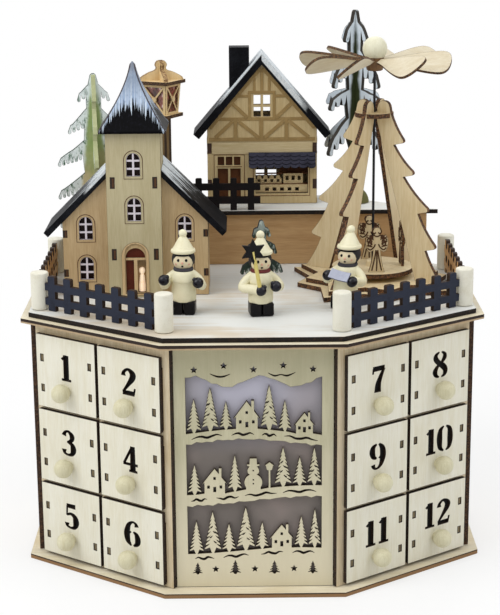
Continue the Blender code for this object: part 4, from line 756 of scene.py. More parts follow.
panelLook = {
    "width": 99.8 * mm,
    "low": 3.3 * mm,
    "height": 160.6 * mm,
    "front": -117.9 * mm,
    "thick": 3 * mm,
    "fretWidth": 85 * mm,
    "fretLow": 17 * mm,
    "fretHigh": 143 * mm,
    "starRadius": 2.3 * mm,
    "pale": (196, 190, 160),
    "deep": (176, 170, 138),
    # painted light: the tone that the panel's lower part is painted towards
    "paintedLightLow": (222, 212, 184),
    # motifs stand in bands from the lowest up: maker, place across, sizes, all in mm
    "motifs": (
        (("fir", -37, 9, 22, 7), ("fir", -26.6, 10.6, 28, 8), ("fir", -16.3, 8.8, 19, 6), ("fir", -5.6, 11.4, 29, 9),
         ("fir", 4.8, 8.2, 18, 6), ("cottage", 17.2, 12.6, 7.5, 15.5), ("fir", 29.6, 8.4, 21, 7),
         ("fir", 38.2, 7.8, 26, 8)),
        (("fir", -37.6, 8.6, 20, 6), ("cottage", -25, 13, 8, 16.5), ("fir", -12.2, 8.6, 24, 7), ("snowman", -0.6, 11),
         ("lamp", 9.6, 17), ("fir", 18.2, 10.4, 26, 8), ("fir", 28.6, 8.6, 19, 6), ("fir", 37.8, 8.8, 25, 8)),
        (("fir", -37.4, 9, 22, 7), ("fir", -27.2, 10.2, 28, 9), ("fir", -17.4, 8, 18, 6),
         ("cottage", -4.4, 13.6, 8.5, 18), ("fir", 9.6, 10.4, 29, 9), ("fir", 19.4, 8, 20, 6),
         ("cottage", 31.6, 10.6, 6.5, 13.5)),
    ),
    # ground and snowy edge of each band: share of the fretwork's height, swell in mm, waves, phase
    "hills": ((0.06, 2, 1.2, 0.4), (0.385, 3, 1.0, 0.2), (0.69, 2.5, 1.4, 1.9)),
    "skies": ((0.325, 3, 1.0, 0.2), (0.635, 2.5, 1.4, 1.9), (0.955, 3.5, 4.0, 0.9)),
    # drifts under each ground line: how far down, then from where to where, in mm
    "drifts": ((3.2, (-38, -26), (-20, -4), (4, 18), (24, 38)), (3.7, (-40, -30), (-24, -10), (-6, 14), (18, 39)),
               (3.4, (-39, -20), (-14, 0), (5, 14), (19, 40))),
    "lowFirs": ((-36.5, 6, 8), (-12.5, 7, 9.5), (12.5, 7, 9), (37, 6, 8.5)),
    "skySlits": (((-27, 142.5, 0.15), (-23, 140.8, 0.9), (-19, 140.6, 1.0), (-14.5, 142.2, 0.15)),
                 ((9, 142.8, 0.15), (13, 140.9, 0.9), (17, 141.6, 0.5), (21, 140.9, 1.0), (26, 143, 0.15))),
}


def firEdge(tip, width, height, tiers, ground):
    # left to right over a fir with drooping boughs; its sizes are in mm
    width, height = width * mm, height * mm
    left = [(tip - width * 0.07, ground)]
    for tier in range(tiers):
        reach = width / 2 * (1 - 0.82 * tier / (tiers - 0.2))
        level = ground + height * (0.1 + 0.8 * tier / tiers)
        left.append((tip - reach * 0.4, level + height * 0.03))
        left.append((tip - reach, level - height * 0.012))
        left.append((tip - reach * 0.93, level + height * 0.035))
        left.append((tip - reach * 0.62, level + height * 0.085))
    return mirrored(left, tip, [(tip, ground + height)])


def cottageEdge(middle, width, wall, peak, ground):
    width, wall, peak = mms(width, wall, peak)
    half, eave = width / 2, width * 0.61
    drop = (peak - wall) * (eave / half - 1)
    slope = (peak - wall + drop) / eave
    near = half * 0.42
    far = near + width * 0.13
    left = [(middle - half, ground), (middle - half, ground + wall - drop * 0.35),
            (middle - eave, ground + wall - drop)]
    chimney = [(middle + near, ground + peak - slope * near), (middle + near, ground + peak * 1.02),
               (middle + far, ground + peak * 1.02), (middle + far, ground + peak - slope * far)]
    return mirrored(left, middle, [(middle, ground + peak), *chimney])


def snowmanEdge(middle, size, ground):
    size = size * mm
    lower = arc(size * 0.52, 215, 100, 9, (middle, ground + size * 0.42))
    lower = [point for point in lower if point[0] <= middle - size * 0.2]
    upper = arc(size * 0.34, 205, 128, 5, (middle, ground + size * 1.12))
    hat = [(middle - size * x, ground + size * z) for x, z in ((0.36, 1.44), (0.36, 1.52), (0.22, 1.53), (0.2, 1.88))]
    return mirrored([(middle - size * 0.42, ground)] + lower + upper + hat, middle)


def lampEdge(middle, tall, ground):
    # a street lamp on a thin post
    half = ((0.6, 0), (0.6, 0.68), (1.7, 0.7), (2.3, 0.86), (2.9, 0.87), (1.0, 0.96))
    left = [(middle - x * mm, ground + z * tall * mm) for x, z in half]
    return mirrored(left, middle, [(middle, ground + tall * mm)])


panelShapes = {"fir": firEdge, "cottage": cottageEdge, "snowman": snowmanEdge, "lamp": lampEdge}


def hillLine(level, swell, waves, phase, width):
    return lambda x: level + swell * math.sin(waves * math.pi * x / width + phase)


def bandOpening(hill, sky, motifs, width):
    # along the skyline to the right, and back under the snowy edge above
    half, steps = width / 2, 26
    line = [(-half, hill(-half))]
    for kind, place, *details in motifs:
        line += panelShapes[kind](place * mm, *details, hill(place * mm))
    line.append((half, hill(half)))
    for step in range(steps + 1):
        x = half - width * step / steps
        ragged = 0.8 * mm * math.sin(step * 2.3) * math.sin(step * 0.7)
        line.append((x, sky(x) + ragged))
    return line


def starOutline(across, up, radius, points=5, inner=0.45):
    line = []
    for step in range(points * 2):
        reach, angle = radius * (inner if step % 2 else 1), quarter + math.pi * step / points
        line.append((across + reach * math.cos(angle), up + reach * math.sin(angle)))
    return line


def slit(*points):
    # a thin curved cut, pointed at both ends; points in mm as (across, up, width)
    return ribbon([mms(*point) for point in points])


def motifCuts(kind, place, ground, details):
    # windows, buttons, and short strokes under the boughs of the tallest firs
    cuts = []
    if kind == "cottage":
        wide, wall, _ = details
        for across, up, size, tall in ((-0.3, 0.42, 1.5, 1.9), (0.3, 0.42, 1.5, 1.9), (0, 0.12, 1.7, 3.4),
                                       (0, 1.15, 1.4, 1.7)):
            cuts.append(rectangle(size * mm, tall * mm, ground + up * wall * mm, (place + across * wide) * mm))
    elif kind == "snowman":
        cuts += [rectangle(0.8 * mm, 0.8 * mm, ground + up * mm, place * mm) for up in (3.4, 6.0, 12.2)]
    elif kind == "fir" and details[1] > 24:
        for step, side in ((0.26, 1), (0.38, -1), (0.5, 1), (0.62, -1)):
            x, y = place + side * details[0] * (0.17 - 0.12 * step), ground / mm + details[1] * step
            cuts.append(slit((x - side * 1.0, y + 1.0, 0.15), (x, y, 0.7), (x + side * 0.9, y - 0.4, 0.15)))
    return cuts


def panelCuts(look):
    low, span, width = look["fretLow"], look["fretHigh"] - look["fretLow"], look["fretWidth"]

    def lines(rows):
        return [hillLine(low + span * share, swell * mm, waves, phase, width) for share, swell, waves, phase in rows]

    hills, skies = lines(look["hills"]), lines(look["skies"])
    cuts = [bandOpening(hill, sky, row, width) for hill, sky, row in zip(hills, skies, look["motifs"])]
    for hill, row in zip(hills, look["motifs"]):
        for kind, place, *details in row:
            cuts += motifCuts(kind, place, hill(place * mm), details)
    stars = [(width * (step - 2) / 4.6, look["fretHigh"] + (4.5 if step % 2 else 2.0) * mm) for step in range(5)]
    stars += [(width * (step - 1) / 3.4, low - 5 * mm) for step in range(3)]
    cuts += [starOutline(across, up, look["starRadius"]) for across, up in stars]
    cuts += [firEdge(place * mm, wide, tall, 4, low - 8.4 * mm) for place, wide, tall in look["lowFirs"]]
    for hill, (drop, *sides) in zip(hills, look["drifts"]):
        for left, right in sides:
            line = []
            for part in range(7):
                x = left + (right - left) * part / 6
                swell = 0.7 * math.sin(part * 1.9 + left)
                line.append((x, hill(x * mm) / mm - drop + swell, 1.3 * math.sin(math.pi * part / 6) + 0.12))
            cuts.append(slit(*line))
    return cuts + [slit(*points) for points in look["skySlits"]]


def frontPanelWood(look):
    paint = Paint("panelPlywood", 0.6)
    fibres, bands, patches = grainOf(paint, "z")
    height, drift = paint.axis("Z"), patches - 0.5
    tone = (fibres * 0.4 + bands * 0.45 + patches * 0.25).between(0.36, 0.78)
    # painted shade: the panel is painted lighter towards the bottom and darker towards the top, standing for the
    # shadow under the deck's overhang
    lower = 1.0 - (height + drift * (40 * mm)).between(15 * mm, 120 * mm)
    upper = (height + drift * (30 * mm)).between(120 * mm, 158 * mm)
    wood = paint.mix(lower * 0.8, paint.mix(tone, look["pale"], look["deep"]), look["paintedLightLow"])
    wood = paint.mix(upper * 0.6, wood, (168, 163, 132))
    char = paint.clouds(900.0, 3.0, 0.7)
    share = (scorchOf(paint) + (char - 0.5) * 0.4).between(0.25, 0.75)
    colour = paint.mix(share, wood, paint.mix(char, (28, 21, 14), (66, 50, 32)))
    return paint.done(colour, 0.6 + (fibres - 0.5) * 0.18 + share * 0.15, fibres * 0.5 + char * share, 0.35, 0.0002)


def buildFrontPanel(look):
    sheet = board(rectangle(look["width"], look["height"]), look["thick"], panelCuts(look), 0.24 * mm)
    sheet = put(stood(sheet, look["front"]), (0, 0, look["low"]))
    piece("frontPanel", sheet, [frontPanelWood(look)], "chest", "front_panel")


buildFrontPanel(panelLook)
print("front panel cut")


# Fences

fenceLook = {
    "postRadius": 5.85 * mm,
    "postHeight": 24.5 * mm,
    "floor": 170.8 * mm,
    "front": (55.2 * mm, -108.4 * mm),
    "side": (138.6 * mm, -49.2 * mm),
    "thick": 3 * mm,
    "height": 23 * mm,
    "rail": 4.8 * mm,
    "rails": (3.6 * mm, 13.2 * mm),
    "pickets": 7,
    "picketWidth": 6 * mm,
    "stub": 3 * mm,
    "postPaint": (224, 221, 206),
    "slate": (37, 42, 57),
    "slateWorn": (23, 25, 34),
    "bare": ((212, 172, 122), (172, 132, 84)),
}


def picketBoard(length, pickets, wide, stub, look, lift=0.0):
    pitch = (length - 2 * stub - wide) / (pickets - 1)
    starts = [stub + index * pitch for index in range(pickets)]
    low, high = (rise + lift for rise in look["rails"])
    lowTop, highTop, top = low + look["rail"], high + look["rail"], look["height"]
    last, soft = starts[-1], 0.7 * mm
    below, above = [(0, low)], []
    for start in starts:
        end = start + wide
        below += [(start, low), (start, 0), (end, 0), (end, low)]
        above += [(start, highTop), (start, top - soft), (start + soft, top), (end - soft, top), (end, top - soft),
                  (end, highTop)]
    right = [(length, low), (length, lowTop), (last + wide, lowTop), (last + wide, high), (length, high),
             (length, highTop)]
    left = [(0, highTop), (0, high), (starts[0], high), (starts[0], lowTop), (0, lowTop)]
    holes = [[(start + wide, lowTop), (start + pitch, lowTop), (start + pitch, high), (start + wide, high)]
             for start in starts[:-1]]
    return stood(board(below + right + above[::-1] + left, look["thick"], holes, 0.35 * mm), -look["thick"] / 2)


def fencePost(look):
    radius, top = look["postRadius"], look["postHeight"]
    crown = [(radius - 1.1 * mm + x, top - 1.1 * mm + y) for x, y in arc(1.1 * mm, 0, 90, 4)]
    return spun([(0, 0), (radius - 0.4 * mm, 0), (radius, 0.4 * mm), *crown, (0, top)], 36)


def fenceRun(name, node, hand, look, woods):
    front = Vector((hand * look["front"][0], look["front"][1]))
    side = Vector((hand * look["side"][0], look["side"][1]))
    rear = Vector((side.x, side.y + (side - front).length))
    shapes = []
    for place in (front, side, rear):
        shapes.append(coated(put(fencePost(look), (*place, look["floor"])), 1))
    for start, end in ((front, side), (side, rear)):
        way = (end - start).normalized()
        first = start + way * (look["postRadius"] - 0.6 * mm)
        length = (end - start).length - 2 * look["postRadius"] + 1.2 * mm
        run = picketBoard(length, look["pickets"], look["picketWidth"], look["stub"], look)
        run.normal_update()
        for face in run.faces:
            if face.normal.y * hand > 0.5:
                face.material_index = 2
        shapes.append(put(run, (*first, look["floor"]), math.atan2(way.y, way.x)))
    piece(name, joined(shapes), woods, "chest", node, smooth=35)


def buildFences(look):
    coats = [
        painted("fenceSlate", look["slate"], look["slateWorn"], 0.6, speck=0.8, edgeTone=(50, 36, 27), shine=0.2),
        painted("postCream", look["postPaint"], (204, 198, 174), 0.55, speck=0.6),
        plywood("fenceInside", *look["bare"], burnt=(40, 25, 16), toasted=(70, 46, 28)),
    ]
    fenceRun("fenceLeft", "fence_left", -1, look, coats)
    fenceRun("fenceRight", "fence_right", 1, look, coats)
    black = painted("terraceFenceBlack", (12, 10, 13), (34, 20, 20), 0.6, speck=0.7, edgeTone=(26, 16, 14),
                    shine=0.15)
    railing = put(picketBoard(75.9 * mm, 6, 4.6 * mm, 4.5 * mm, look, 1.1 * mm), mms(-68.8, 72.2, 210.8))
    piece("terraceFence", railing, [black], "chest", "terrace_fence")


buildFences(fenceLook)
print("fences made")


# House with its shop window and awning

houseLook = {
    "at": mms(8.8, 94.4, 210.8),
    "width": 79.6 * mm,
    "depth": 26 * mm,
    "eaves": 54.6 * mm,
    "pitch": math.radians(49.5),
    "wall": 3 * mm,
    "awningWidth": 48.6 * mm,
    "awningDrop": 9.3 * mm,
    "awningReach": 6 * mm,
    "infill": (204, 184, 140),
    "infillDeep": (184, 160, 114),
    "timber": (150, 124, 78),
    "plaster": (212, 196, 158),
    "roof": {"middle": 8.8 * mm, "ridge": 320.5 * mm, "pitch": math.radians(49.5),
             "reach": 34 * mm, "verges": (0.8 * mm, 3.5 * mm), "dusted": 0.1},
}

# timbers of the front gable as (x, z, x, z, width) in mm
gableTimbers = (
    (-33.5, 62.05, 33.5, 62.05, 2.5), (-38.5, 47.3, 38.5, 47.3, 2.7), (-19.0, 78.6, -8.5, 78.6, 2.2),
    (8.5, 78.6, 19.0, 78.6, 2.2), (-0.6, 47.3, -0.6, 62.0, 3.0), (-19.2, 47.3, -19.2, 62.0, 3.0),
    (17.6, 47.3, 17.6, 62.0, 3.0), (-8.9, 61.0, -8.9, 82.0, 2.2), (8.9, 61.0, 8.9, 82.0, 2.2),
    (-5.4, 80.5, -5.4, 92.0, 2.0), (0, 80.5, 0, 98.0, 2.4), (5.4, 80.5, 5.4, 92.0, 2.0), (-10, 81.4, 10, 81.4, 2.0),
    (-33.9, 48.6, -21.3, 60.4, 2.6), (-17.0, 60.4, -2.4, 48.4, 2.6), (1.6, 48.4, 15.6, 60.4, 2.6),
    (19.6, 60.4, 33.9, 48.6, 2.6), (-22.6, 74.6, -10.4, 63.0, 2.6), (10.4, 63.0, 22.6, 74.6, 2.6),
    (-38.0, 55.6, -1.0, 98.9, 3.2), (38.0, 55.6, 1.0, 98.9, 3.2),
)
sideTimbers = ((-11, 47.3, 11, 47.3, 2.7), (-11, 37.2, 11, 37.2, 2.0), (0, 37, 0, 47, 2.6),
               (-10.6, 47, -1, 37.4, 2.2), (1, 37.4, 10.6, 47, 2.2), (-11, 1.6, 11, 1.6, 3.0))


def timbers(rows):
    # each bar stands a hair prouder than the last, so that crossings don't share a face
    return [coated(strip(mms(x0, z0), mms(x1, z1), width * mm, (0.3 + 0.022 * index) * mm), 2)
            for index, (x0, z0, x1, z1, width) in enumerate(rows)]


def houseFront(look):
    holes = [pane(7.4, 22.9, 3, x) for x in (-28.7, -19.5)] + [pane(4.5, 6.0, 28.6, x) for x in (-30.0, -24.1, -18.2)]
    holes += [pane(5, 6.75, low, x) for x in (-3.45, 3.45) for low in (64, 72.65)] + [pane(38, 20, 7.5, 14.3)]
    return stood(board(gable(look), look["wall"], holes, 0.35 * mm), 0)


def shopInside():
    # a counter, a row of jars and a crate of goods behind the opening, cut from thin boards, and two shelves
    jars = [11.6 - index * 4.6 for index in range(4)]
    row = [(-4.6, 13.2), (14.2, 13.2), (14.2, 17.8)]
    for middle in jars:
        row += [(middle + x, z) for x, z in ((1.8, 17.8), (1.4, 19.8), (0, 20.6), (-1.4, 19.8), (-1.8, 17.8))]
    counter = [(-4.6, 7.4), (33.2, 7.4), (33.2, 13.6), (-4.6, 13.6)]
    crate = [(15.4, 13.2), (29.8, 13.2), (29.8, 21.6), (15.4, 21.6)]
    goods = ((counter, 2.0, [pane(2.6, 2.3, 9.0, x) for x in (3.4, 8.9, 14.4, 19.9, 25.4)]),
             (row + [(-4.6, 17.8)], 3.4, [pane(1.9, 2.0, 15.2, x) for x in jars]),
             (crate, 3.0, [pane(2.2, 3.0, 16.6, x) for x in (18.2, 22.6, 27.0)]))
    shapes = [coated(stood(board(inMm(outline), 1.2 * mm, holes, 0.2 * mm), front * mm), 1)
              for outline, front, holes in goods]
    return shapes + [block((37.8, deep, 0.9), (14.3, 4.4, low), 3, 0.15) for low, deep in ((13.2, 4.6), (21.0, 1.4))]


def houseAwning(look):
    # four rows of round-ended shingles, lapped down a slope
    drop, reach, width, count = look["awningDrop"], look["awningReach"], look["awningWidth"], 8
    radius = width / count / 2
    place = (look["width"] / 2 - width / 2 - 1.0 * mm, 0.6 * mm, 36.5 * mm)
    shapes = []
    for row in range(4):
        low = -math.hypot(drop, reach) * (row + 1) / 4 + 1.2 * mm
        edge = []
        for index in range(count):
            middle = -width / 2 + radius * (2 * index + 1)
            edge += [(x, low + y * 0.62) for x, y in arc(radius, 180, 360, 8, (middle, 0))[:-1]]
        outline = edge + [(width / 2, low), (width / 2, 0), (-width / 2, 0)]
        sheet = stood(board(outline, 0.9 * mm, rim=0.2 * mm), -0.9 * mm - (3 - row) * 0.55 * mm)
        shapes.append(put(put(coated(sheet, 5), tilt=-math.atan2(reach, drop)), place))
    return shapes


def houseWoods(look):
    return [
        plywood("houseInfill", look["infill"], look["infillDeep"]),
        plywood("shopGoods", (214, 194, 150), (186, 158, 108), "x", burnt=(70, 40, 24), toasted=(120, 80, 50)),
        painted("houseTimber", look["timber"], (172, 146, 98), 0.65, speck=0.8),
        painted("doorBrown", (104, 62, 34), (66, 34, 18), 0.6, speck=0.9, shine=0.2),
        plywood("houseBand", look["plaster"], (186, 166, 122), "x", burnt=(60, 40, 24), toasted=(120, 92, 58)),
        painted("awningSlate", (54, 54, 68), (22, 22, 30), 0.6, speck=1.0, edgeTone=(12, 11, 14), shine=0.1),
        plywood("houseTenons", (66, 42, 30), (36, 22, 16), "x", burnt=(20, 13, 10), toasted=(40, 25, 18)),
    ]


def houseSides(look):
    wide, deep, wall = look["width"], look["depth"], look["wall"]
    shapes = []
    for hand in (-1, 1):
        shapes.append(sideWall(hand, wide, deep, look["eaves"], wall))
        shapes += [put(put(bar, turn=quarter * hand), (hand * wide / 2, deep / 2, 0)) for bar in timbers(sideTimbers)]
    holes = [rectangle(*mms(16, 15, 64.4))] + [pane(6.4, 4.6, 16.4, x) for x in (-1.5, 7.5)]
    shapes.append(stood(board(gable(look), wall, holes), deep - wall))
    bars = timbers([row for row in gableTimbers if abs(row[0]) > 10 or row[1] > 80])
    return shapes + [put(bar, (0, deep, 0), math.pi) for bar in bars]


def buildHouse(look):
    shapes = [houseFront(look)] + houseSides(look) + shopInside() + houseAwning(look)
    band = board(rectangle(look["width"] - 6.6 * mm, 8.6 * mm, 36.7 * mm), 0.5 * mm, rim=0.2 * mm)
    shapes += [coated(stood(band, -0.4 * mm), 4), *timbers(gableTimbers)]
    for line in (((-35.0, 0.3), (-35.0, 36.0), (-12.9, 36.0), (-12.9, 0.3)), ((-33.4, 27.3), (-14.6, 27.3)),
                 ((-6.6, 5.6), (34.6, 5.6), (34.6, 28.4)), ((-6.6, 5.6), (-6.6, 28.4))):
        shapes.append(coated(scored(inMm(line), 0), 3))
    for size, at in (((21, 0.8, 35), (-24.1, 2.6, 1.2)), ((21, 0.8, 14), (23.2, 12, 20.4)),
                     ((38.4, 0.8, 6), (14.3, 12, 28.2)), ((38.4, 14, 0.8), (14.3, 9, 6.9))):
        shapes.append(block(size, at, 3))
    for hand in (-1, 1):
        for low, tall in ((10.7, 7.2), (37.0, 7.6)):
            for y in (1.5 * mm, look["depth"] - 1.5 * mm):
                at = (hand * (look["width"] / 2 - 1.5 * mm), y, low * mm)
                shapes.append(coated(brick(*mms(3.1, 3.3, tall), at, 0.1 * mm), 6))
    piece("houseWalls", put(joined(shapes), look["at"]), houseWoods(look), "chest", "house_walls")


def snowyRoof(name, look):
    # dark boards, snow that has slid in streaks down from the ridge, and some on the front edges
    paint = Paint(name, 0.6, Specular_IOR_Level=0.05)
    side = paint.axis("X") - look["middle"]
    away, reach = side.size(), look["reach"]
    streaks = paint.clouds(420.0, 3.0, 0.6, (0.07, 1.0, 0.07))
    fine, patches = paint.clouds(1300.0, 3.0, 0.7), paint.clouds(90.0, 3.0, 0.6)
    up = paint.facing((0, 0, 1))
    slope = up.between(0.45, 0.6) * (1.0 - up.between(0.8, 0.95))
    snow = ((streaks - 0.5) * 2.2 + (patches - 0.5) * 0.4 + 1.0 - away * (1.0 / reach)).between(0.1, 0.28) * slope
    depth = (look["ridge"] - paint.axis("Z") - away * math.tan(look["pitch"])) * math.cos(look["pitch"])
    left, right = look["verges"]
    cover = side.between(-0.1 * mm, 0.1 * mm) * (right - left) + left
    onEdge = depth.between(-0.5 * mm, -0.1 * mm) * (1.0 - (depth - cover).between(-0.3 * mm, 0.2 * mm))
    onEdge = onEdge * (1.0 - (away + (patches - 0.5) * (16 * mm)).between(reach * 0.75, reach))
    snow = snow.largest(onEdge * paint.facing((0, 1, 0)).size().between(0.6, 0.8))
    dust = (fine * 0.6 + patches * 0.4).between(0.4, 0.7) * look["dusted"]
    bare = paint.mix(dust, (9, 9, 12), (86, 90, 100))
    white = paint.mix(fine.between(0.35, 0.75), (240, 243, 244), (180, 194, 204))
    return paint.done(paint.mix(snow * (0.75 + fine * 0.25), bare, white), 0.5 + snow * 0.3 + (fine - 0.5) * 0.2,
                      snow * 0.8 + fine * 0.3, 0.4, 0.0004)


buildHouse(houseLook)
plate("house_roof", snowyRoof("houseRoofPaint", houseLook["roof"]))
print("house made")


# Church, its tower and spire

churchLook = {
    "at": mms(-77.5, -16.6, 170.8),
    "width": 97 * mm,
    "depth": 44 * mm,
    "eaves": 50 * mm,
    "pitch": math.radians(45),
    "wall": 3 * mm,
    "towerWidth": 36.2 * mm,
    "towerProud": 6 * mm,
    "towerHeight": 110.4 * mm,
    "windowWidth": 9 * mm,
    "windowHeight": 15.4 * mm,
    "aisleWindows": ((-33, 11), (33, 11), (-33, 38.4), (33, 38.4)),
    "towerWindows": ((0, 52), (0, 82)),
    "spireWidth": 44.6 * mm,
    "spireHeight": 43.2 * mm,
    "spireSkirt": 1.6 * mm,
    "pale": (198, 174, 134),
    "deep": (176, 148, 106),
    "towerPale": (190, 180, 146),
    "towerDeep": (174, 162, 126),
    "roof": {"middle": -77.5 * mm, "ridge": 275.4 * mm, "pitch": math.radians(45),
             "reach": 37 * mm, "verges": (1.7 * mm, 0.7 * mm), "dusted": 0.14},
}


def windowPanes(middle, low, look):
    # six lights, the upper two round-headed, in a thin glazing board
    half, bar = look["windowWidth"] / 2, 1.15 * mm
    light, low = (look["windowHeight"] - half - 2 * bar) / 2 * 0.98, low + 0.15 * mm
    reach = half - 0.25 * mm
    start = math.degrees(math.asin(min(0.95, bar / 2 / reach)))
    head = [(bar / 2, 0)] + arc(reach, 0, 90 - start, 7)
    panes = []
    for hand in (-1, 1):
        for bottom in (low, low + light + bar):
            panes.append(rectangle(half - bar / 2 - 0.2 * mm, light, bottom, middle + hand * (half + bar / 2) / 2))
        panes.append([(middle + hand * x, low + 2 * (light + bar) + z) for x, z in head])
    return panes


def churchWindow(middle, low, front, look):
    # glazing board, a dark backing that is painted shade for the church's dark inside, and the scored line round them
    wide, tall = look["windowWidth"], look["windowHeight"]
    sheet = board(archOutline(wide + 0.6 * mm, tall + 0.5 * mm, low - 0.2 * mm, middle), 1.0 * mm,
                  windowPanes(middle, low, look), 0.0)
    back = brick(wide + 3 * mm, 0.4 * mm, tall + 3 * mm, (middle, front + 3.4 * mm, low - 1.5 * mm))
    groove = scored(archOutline(wide + 3.4 * mm, tall + 3.3 * mm, low - 1.7 * mm, middle), front, closed=True)
    return [coated(stood(sheet, front + 0.5 * mm), 1), coated(back, 2), coated(groove, 3)]


def portal(front):
    # lunette over two leaves, a small lit peg doll inside the right one
    holes = [pane(5.2, 22.0, 3.2, -3.8), pane(5.4, 22.0, 3.2, 4.0), arc(6.4 * mm, 0, 180, 14, (0, 27.0 * mm))]
    sheet = board(archOutline(*mms(14.6, 34.4, 2.4)), 1.2 * mm, holes, 0.3 * mm)
    band = board(archOutline(*mms(18.2, 36.2, 1.4)), 0.5 * mm, [archOutline(*mms(14, 34.1, 2.5))], 0.25 * mm)
    doll = [(0, 0), (2.1, 0), (2.2, 4.0), (1.5, 10.6), (0.9, 11.6), (1.7, 12.8), (2.0, 14.2), (1.5, 15.8), (0, 16.4)]
    backs = (((14.2, 0.5, 8.4), (0, 2.6, 26.2), 4), ((6.4, 0.5, 24), (-3.8, 2.6, 3), 4),
             ((7.4, 0.5, 24), (3.8, 6.4, 3), 9))
    return [coated(stood(sheet, front + 0.7 * mm), 8), coated(stood(band, front - 0.35 * mm), 8),
            *[block(size, at, coat, 0.0, front) for size, at, coat in backs],
            coated(put(spun(inMm(doll), 16), (4.0 * mm, front + 4 * mm, 3.4 * mm)), 5)]


def churchBoards(look):
    wall, window = look["wall"], (look["windowWidth"], look["windowHeight"])
    tower, tall, front = look["towerWidth"], look["towerHeight"], -look["towerProud"]
    aisle = [archOutline(*window, low * mm, x * mm) for x, low in look["aisleWindows"]]
    holes = [archOutline(*window, low * mm) for _, low in look["towerWindows"]] + [archOutline(*mms(14.2, 34, 2.6))]
    nave = [stood(board(gable(look), wall, aisle), 0), stood(board(gable(look), wall), look["depth"] - wall)]
    nave += [sideWall(hand, look["width"], look["depth"], look["eaves"], wall) for hand in (-1, 1)]
    faces = [stood(board(rectangle(tower, tall), wall, holes), front),
             stood(board(rectangle(tower, tall), wall), front + tower - wall)]
    faces += [sideWall(hand, tower, tower, tall, wall, front) for hand in (-1, 1)]
    return nave + [coated(face, 6) for face in faces]


def churchTenons(look):
    shapes = []
    for hand in (-1, 1):
        for across, front, z, width, tall in ((14, -look["towerProud"], 77.7, 3.4, 7.9),
                                              (14, -look["towerProud"], 29.3, 3.4, 7.9),
                                              (46.9, 0, 42.3, 3.2, 5.2), (46.9, 0, 15.5, 3.2, 5.2)):
            x, low = hand * across, z - tall / 2
            shapes.append(block((width, 2, tall), (x, 0.9, low), 7, 0.15, front))
            shapes.append(block((width * 0.34, 1, tall * 0.72), (x + 0.4, 0.32, low + 0.14 * tall), 3, 0.0, front))
    return shapes


def buildChurch(look):
    shapes = churchBoards(look) + churchTenons(look) + portal(-look["towerProud"])
    for x, low in look["aisleWindows"]:
        shapes += churchWindow(x * mm, low * mm, 0.0, look)
    for x, low in look["towerWindows"]:
        shapes += churchWindow(x * mm, low * mm, -look["towerProud"], look)
    woods = [
        plywood("churchPlywood", look["pale"], look["deep"]),
        painted("glazingBars", (214, 206, 214), (186, 170, 176), 0.6, speck=0.5),
        # painted shade: the dark backing behind the windows
        glossy("windowShadeBacking", (38, 17, 15), (20, 9, 9), 0.5, 500.0, 0.8, shine=0.15),
        painted("scoredLine", (84, 54, 32), (54, 34, 22), 0.8, speck=0.8),
        painted("portalRed", (96, 40, 24), (50, 20, 14), 0.5, speck=0.9, shine=0.2),
        # painted light: the doll and the niche behind the right leaf glow, as if lit from inside the church
        painted("litDoll", (250, 226, 196), (240, 190, 150), 0.5, speck=0.7, glow=0.55),
        plywood("towerPlywood", look["towerPale"], look["towerDeep"]),
        plywood("churchTenons", (46, 31, 21), (28, 18, 13), "x", burnt=(20, 13, 9), toasted=(36, 24, 16)),
        plywood("portalPlywood", (206, 182, 140), (186, 156, 112), burnt=(60, 36, 22), toasted=(96, 64, 38)),
        painted("litNiche", (150, 74, 40), (96, 40, 22), 0.6, speck=0.9, glow=0.25),
    ]
    piece("churchWalls", put(joined(shapes), look["at"]), woods, "chest", "church_walls")


def spireRing(half, height):
    # a square with cut corners, and points close beside them for the singed edge
    soft = min(0.4 * mm, half * 0.4)
    near = min(1.2 * mm + soft, half * 0.7)
    ring = []
    for corner in range(4):
        turn = Matrix.Rotation(quarter * corner, 2)
        for x, y in ((half, half - soft), (half - soft, half), (half - near, half), (0, half), (-half + near, half)):
            ring.append((*(turn @ Vector((x, y))), height))
    return ring


def spireIce(middle, low, tall):
    # snow that ends in icicles over the dark lower edge
    paint = Paint("spireIce", 0.6, Specular_IOR_Level=0.05)
    across, back = paint.axis("X") - middle[0], paint.axis("Y") - middle[1]
    ratio = across.size().smallest(back.size()) * (1.0 / (22 * mm))
    onFront = (back.size() - across.size()).between(-0.1 * mm, 0.1 * mm)
    along = across * onFront + (back + 0.05) * (1.0 - onFront)
    height = (paint.axis("Z") - low) * (1.0 / tall)
    # bands that run straight down a side, whatever its slope
    icicles, threads = (paint.node("ShaderNodeTexNoise", {"noise_dimensions": "1D"},
                                   {"W": along, "Scale": scale, "Detail": detail}, "Fac")
                        for scale, detail in ((620.0, 2.0), (1900.0, 1.0)))
    frost = paint.clouds(700.0, 3.0, 0.65, (1.0, 1.0, 0.3))
    edgeLine = 0.37 - ratio * ratio * 0.38 + (icicles - 0.5) * 0.5 + (threads - 0.5) * 0.35
    bare = (edgeLine - height + (frost - 0.5) * 0.03).between(-0.012, 0.02)
    streaks = (icicles * 0.5 + threads * 0.5).between(0.38, 0.6)
    snow = paint.mix(streaks * (0.95 - height * 0.6), (198, 210, 222), (96, 126, 172))
    for share, tone in ((height.between(0.4, 0.75) * 0.75, (132, 144, 162)),
                        (height.between(0.8, 0.95) * 0.6, (112, 112, 118)),
                        (frost.between(0.45, 0.8) * 0.4, (88, 106, 136))):
        snow = paint.mix(share, snow, tone)
    colour = paint.mix(bare, snow, paint.mix(frost.between(0.5, 0.75), (4, 4, 6), (20, 20, 27)))
    edge = (scorchOf(paint) + (frost - 0.5) * 0.4).between(0.4, 0.8)
    return paint.done(paint.mix(edge * 0.9, colour, (58, 44, 38)), 0.5 + (frost - 0.5) * 0.2 - bare * 0.1,
                      (1.0 - bare) * 0.7 + frost * 0.4, 0.4, 0.0004)


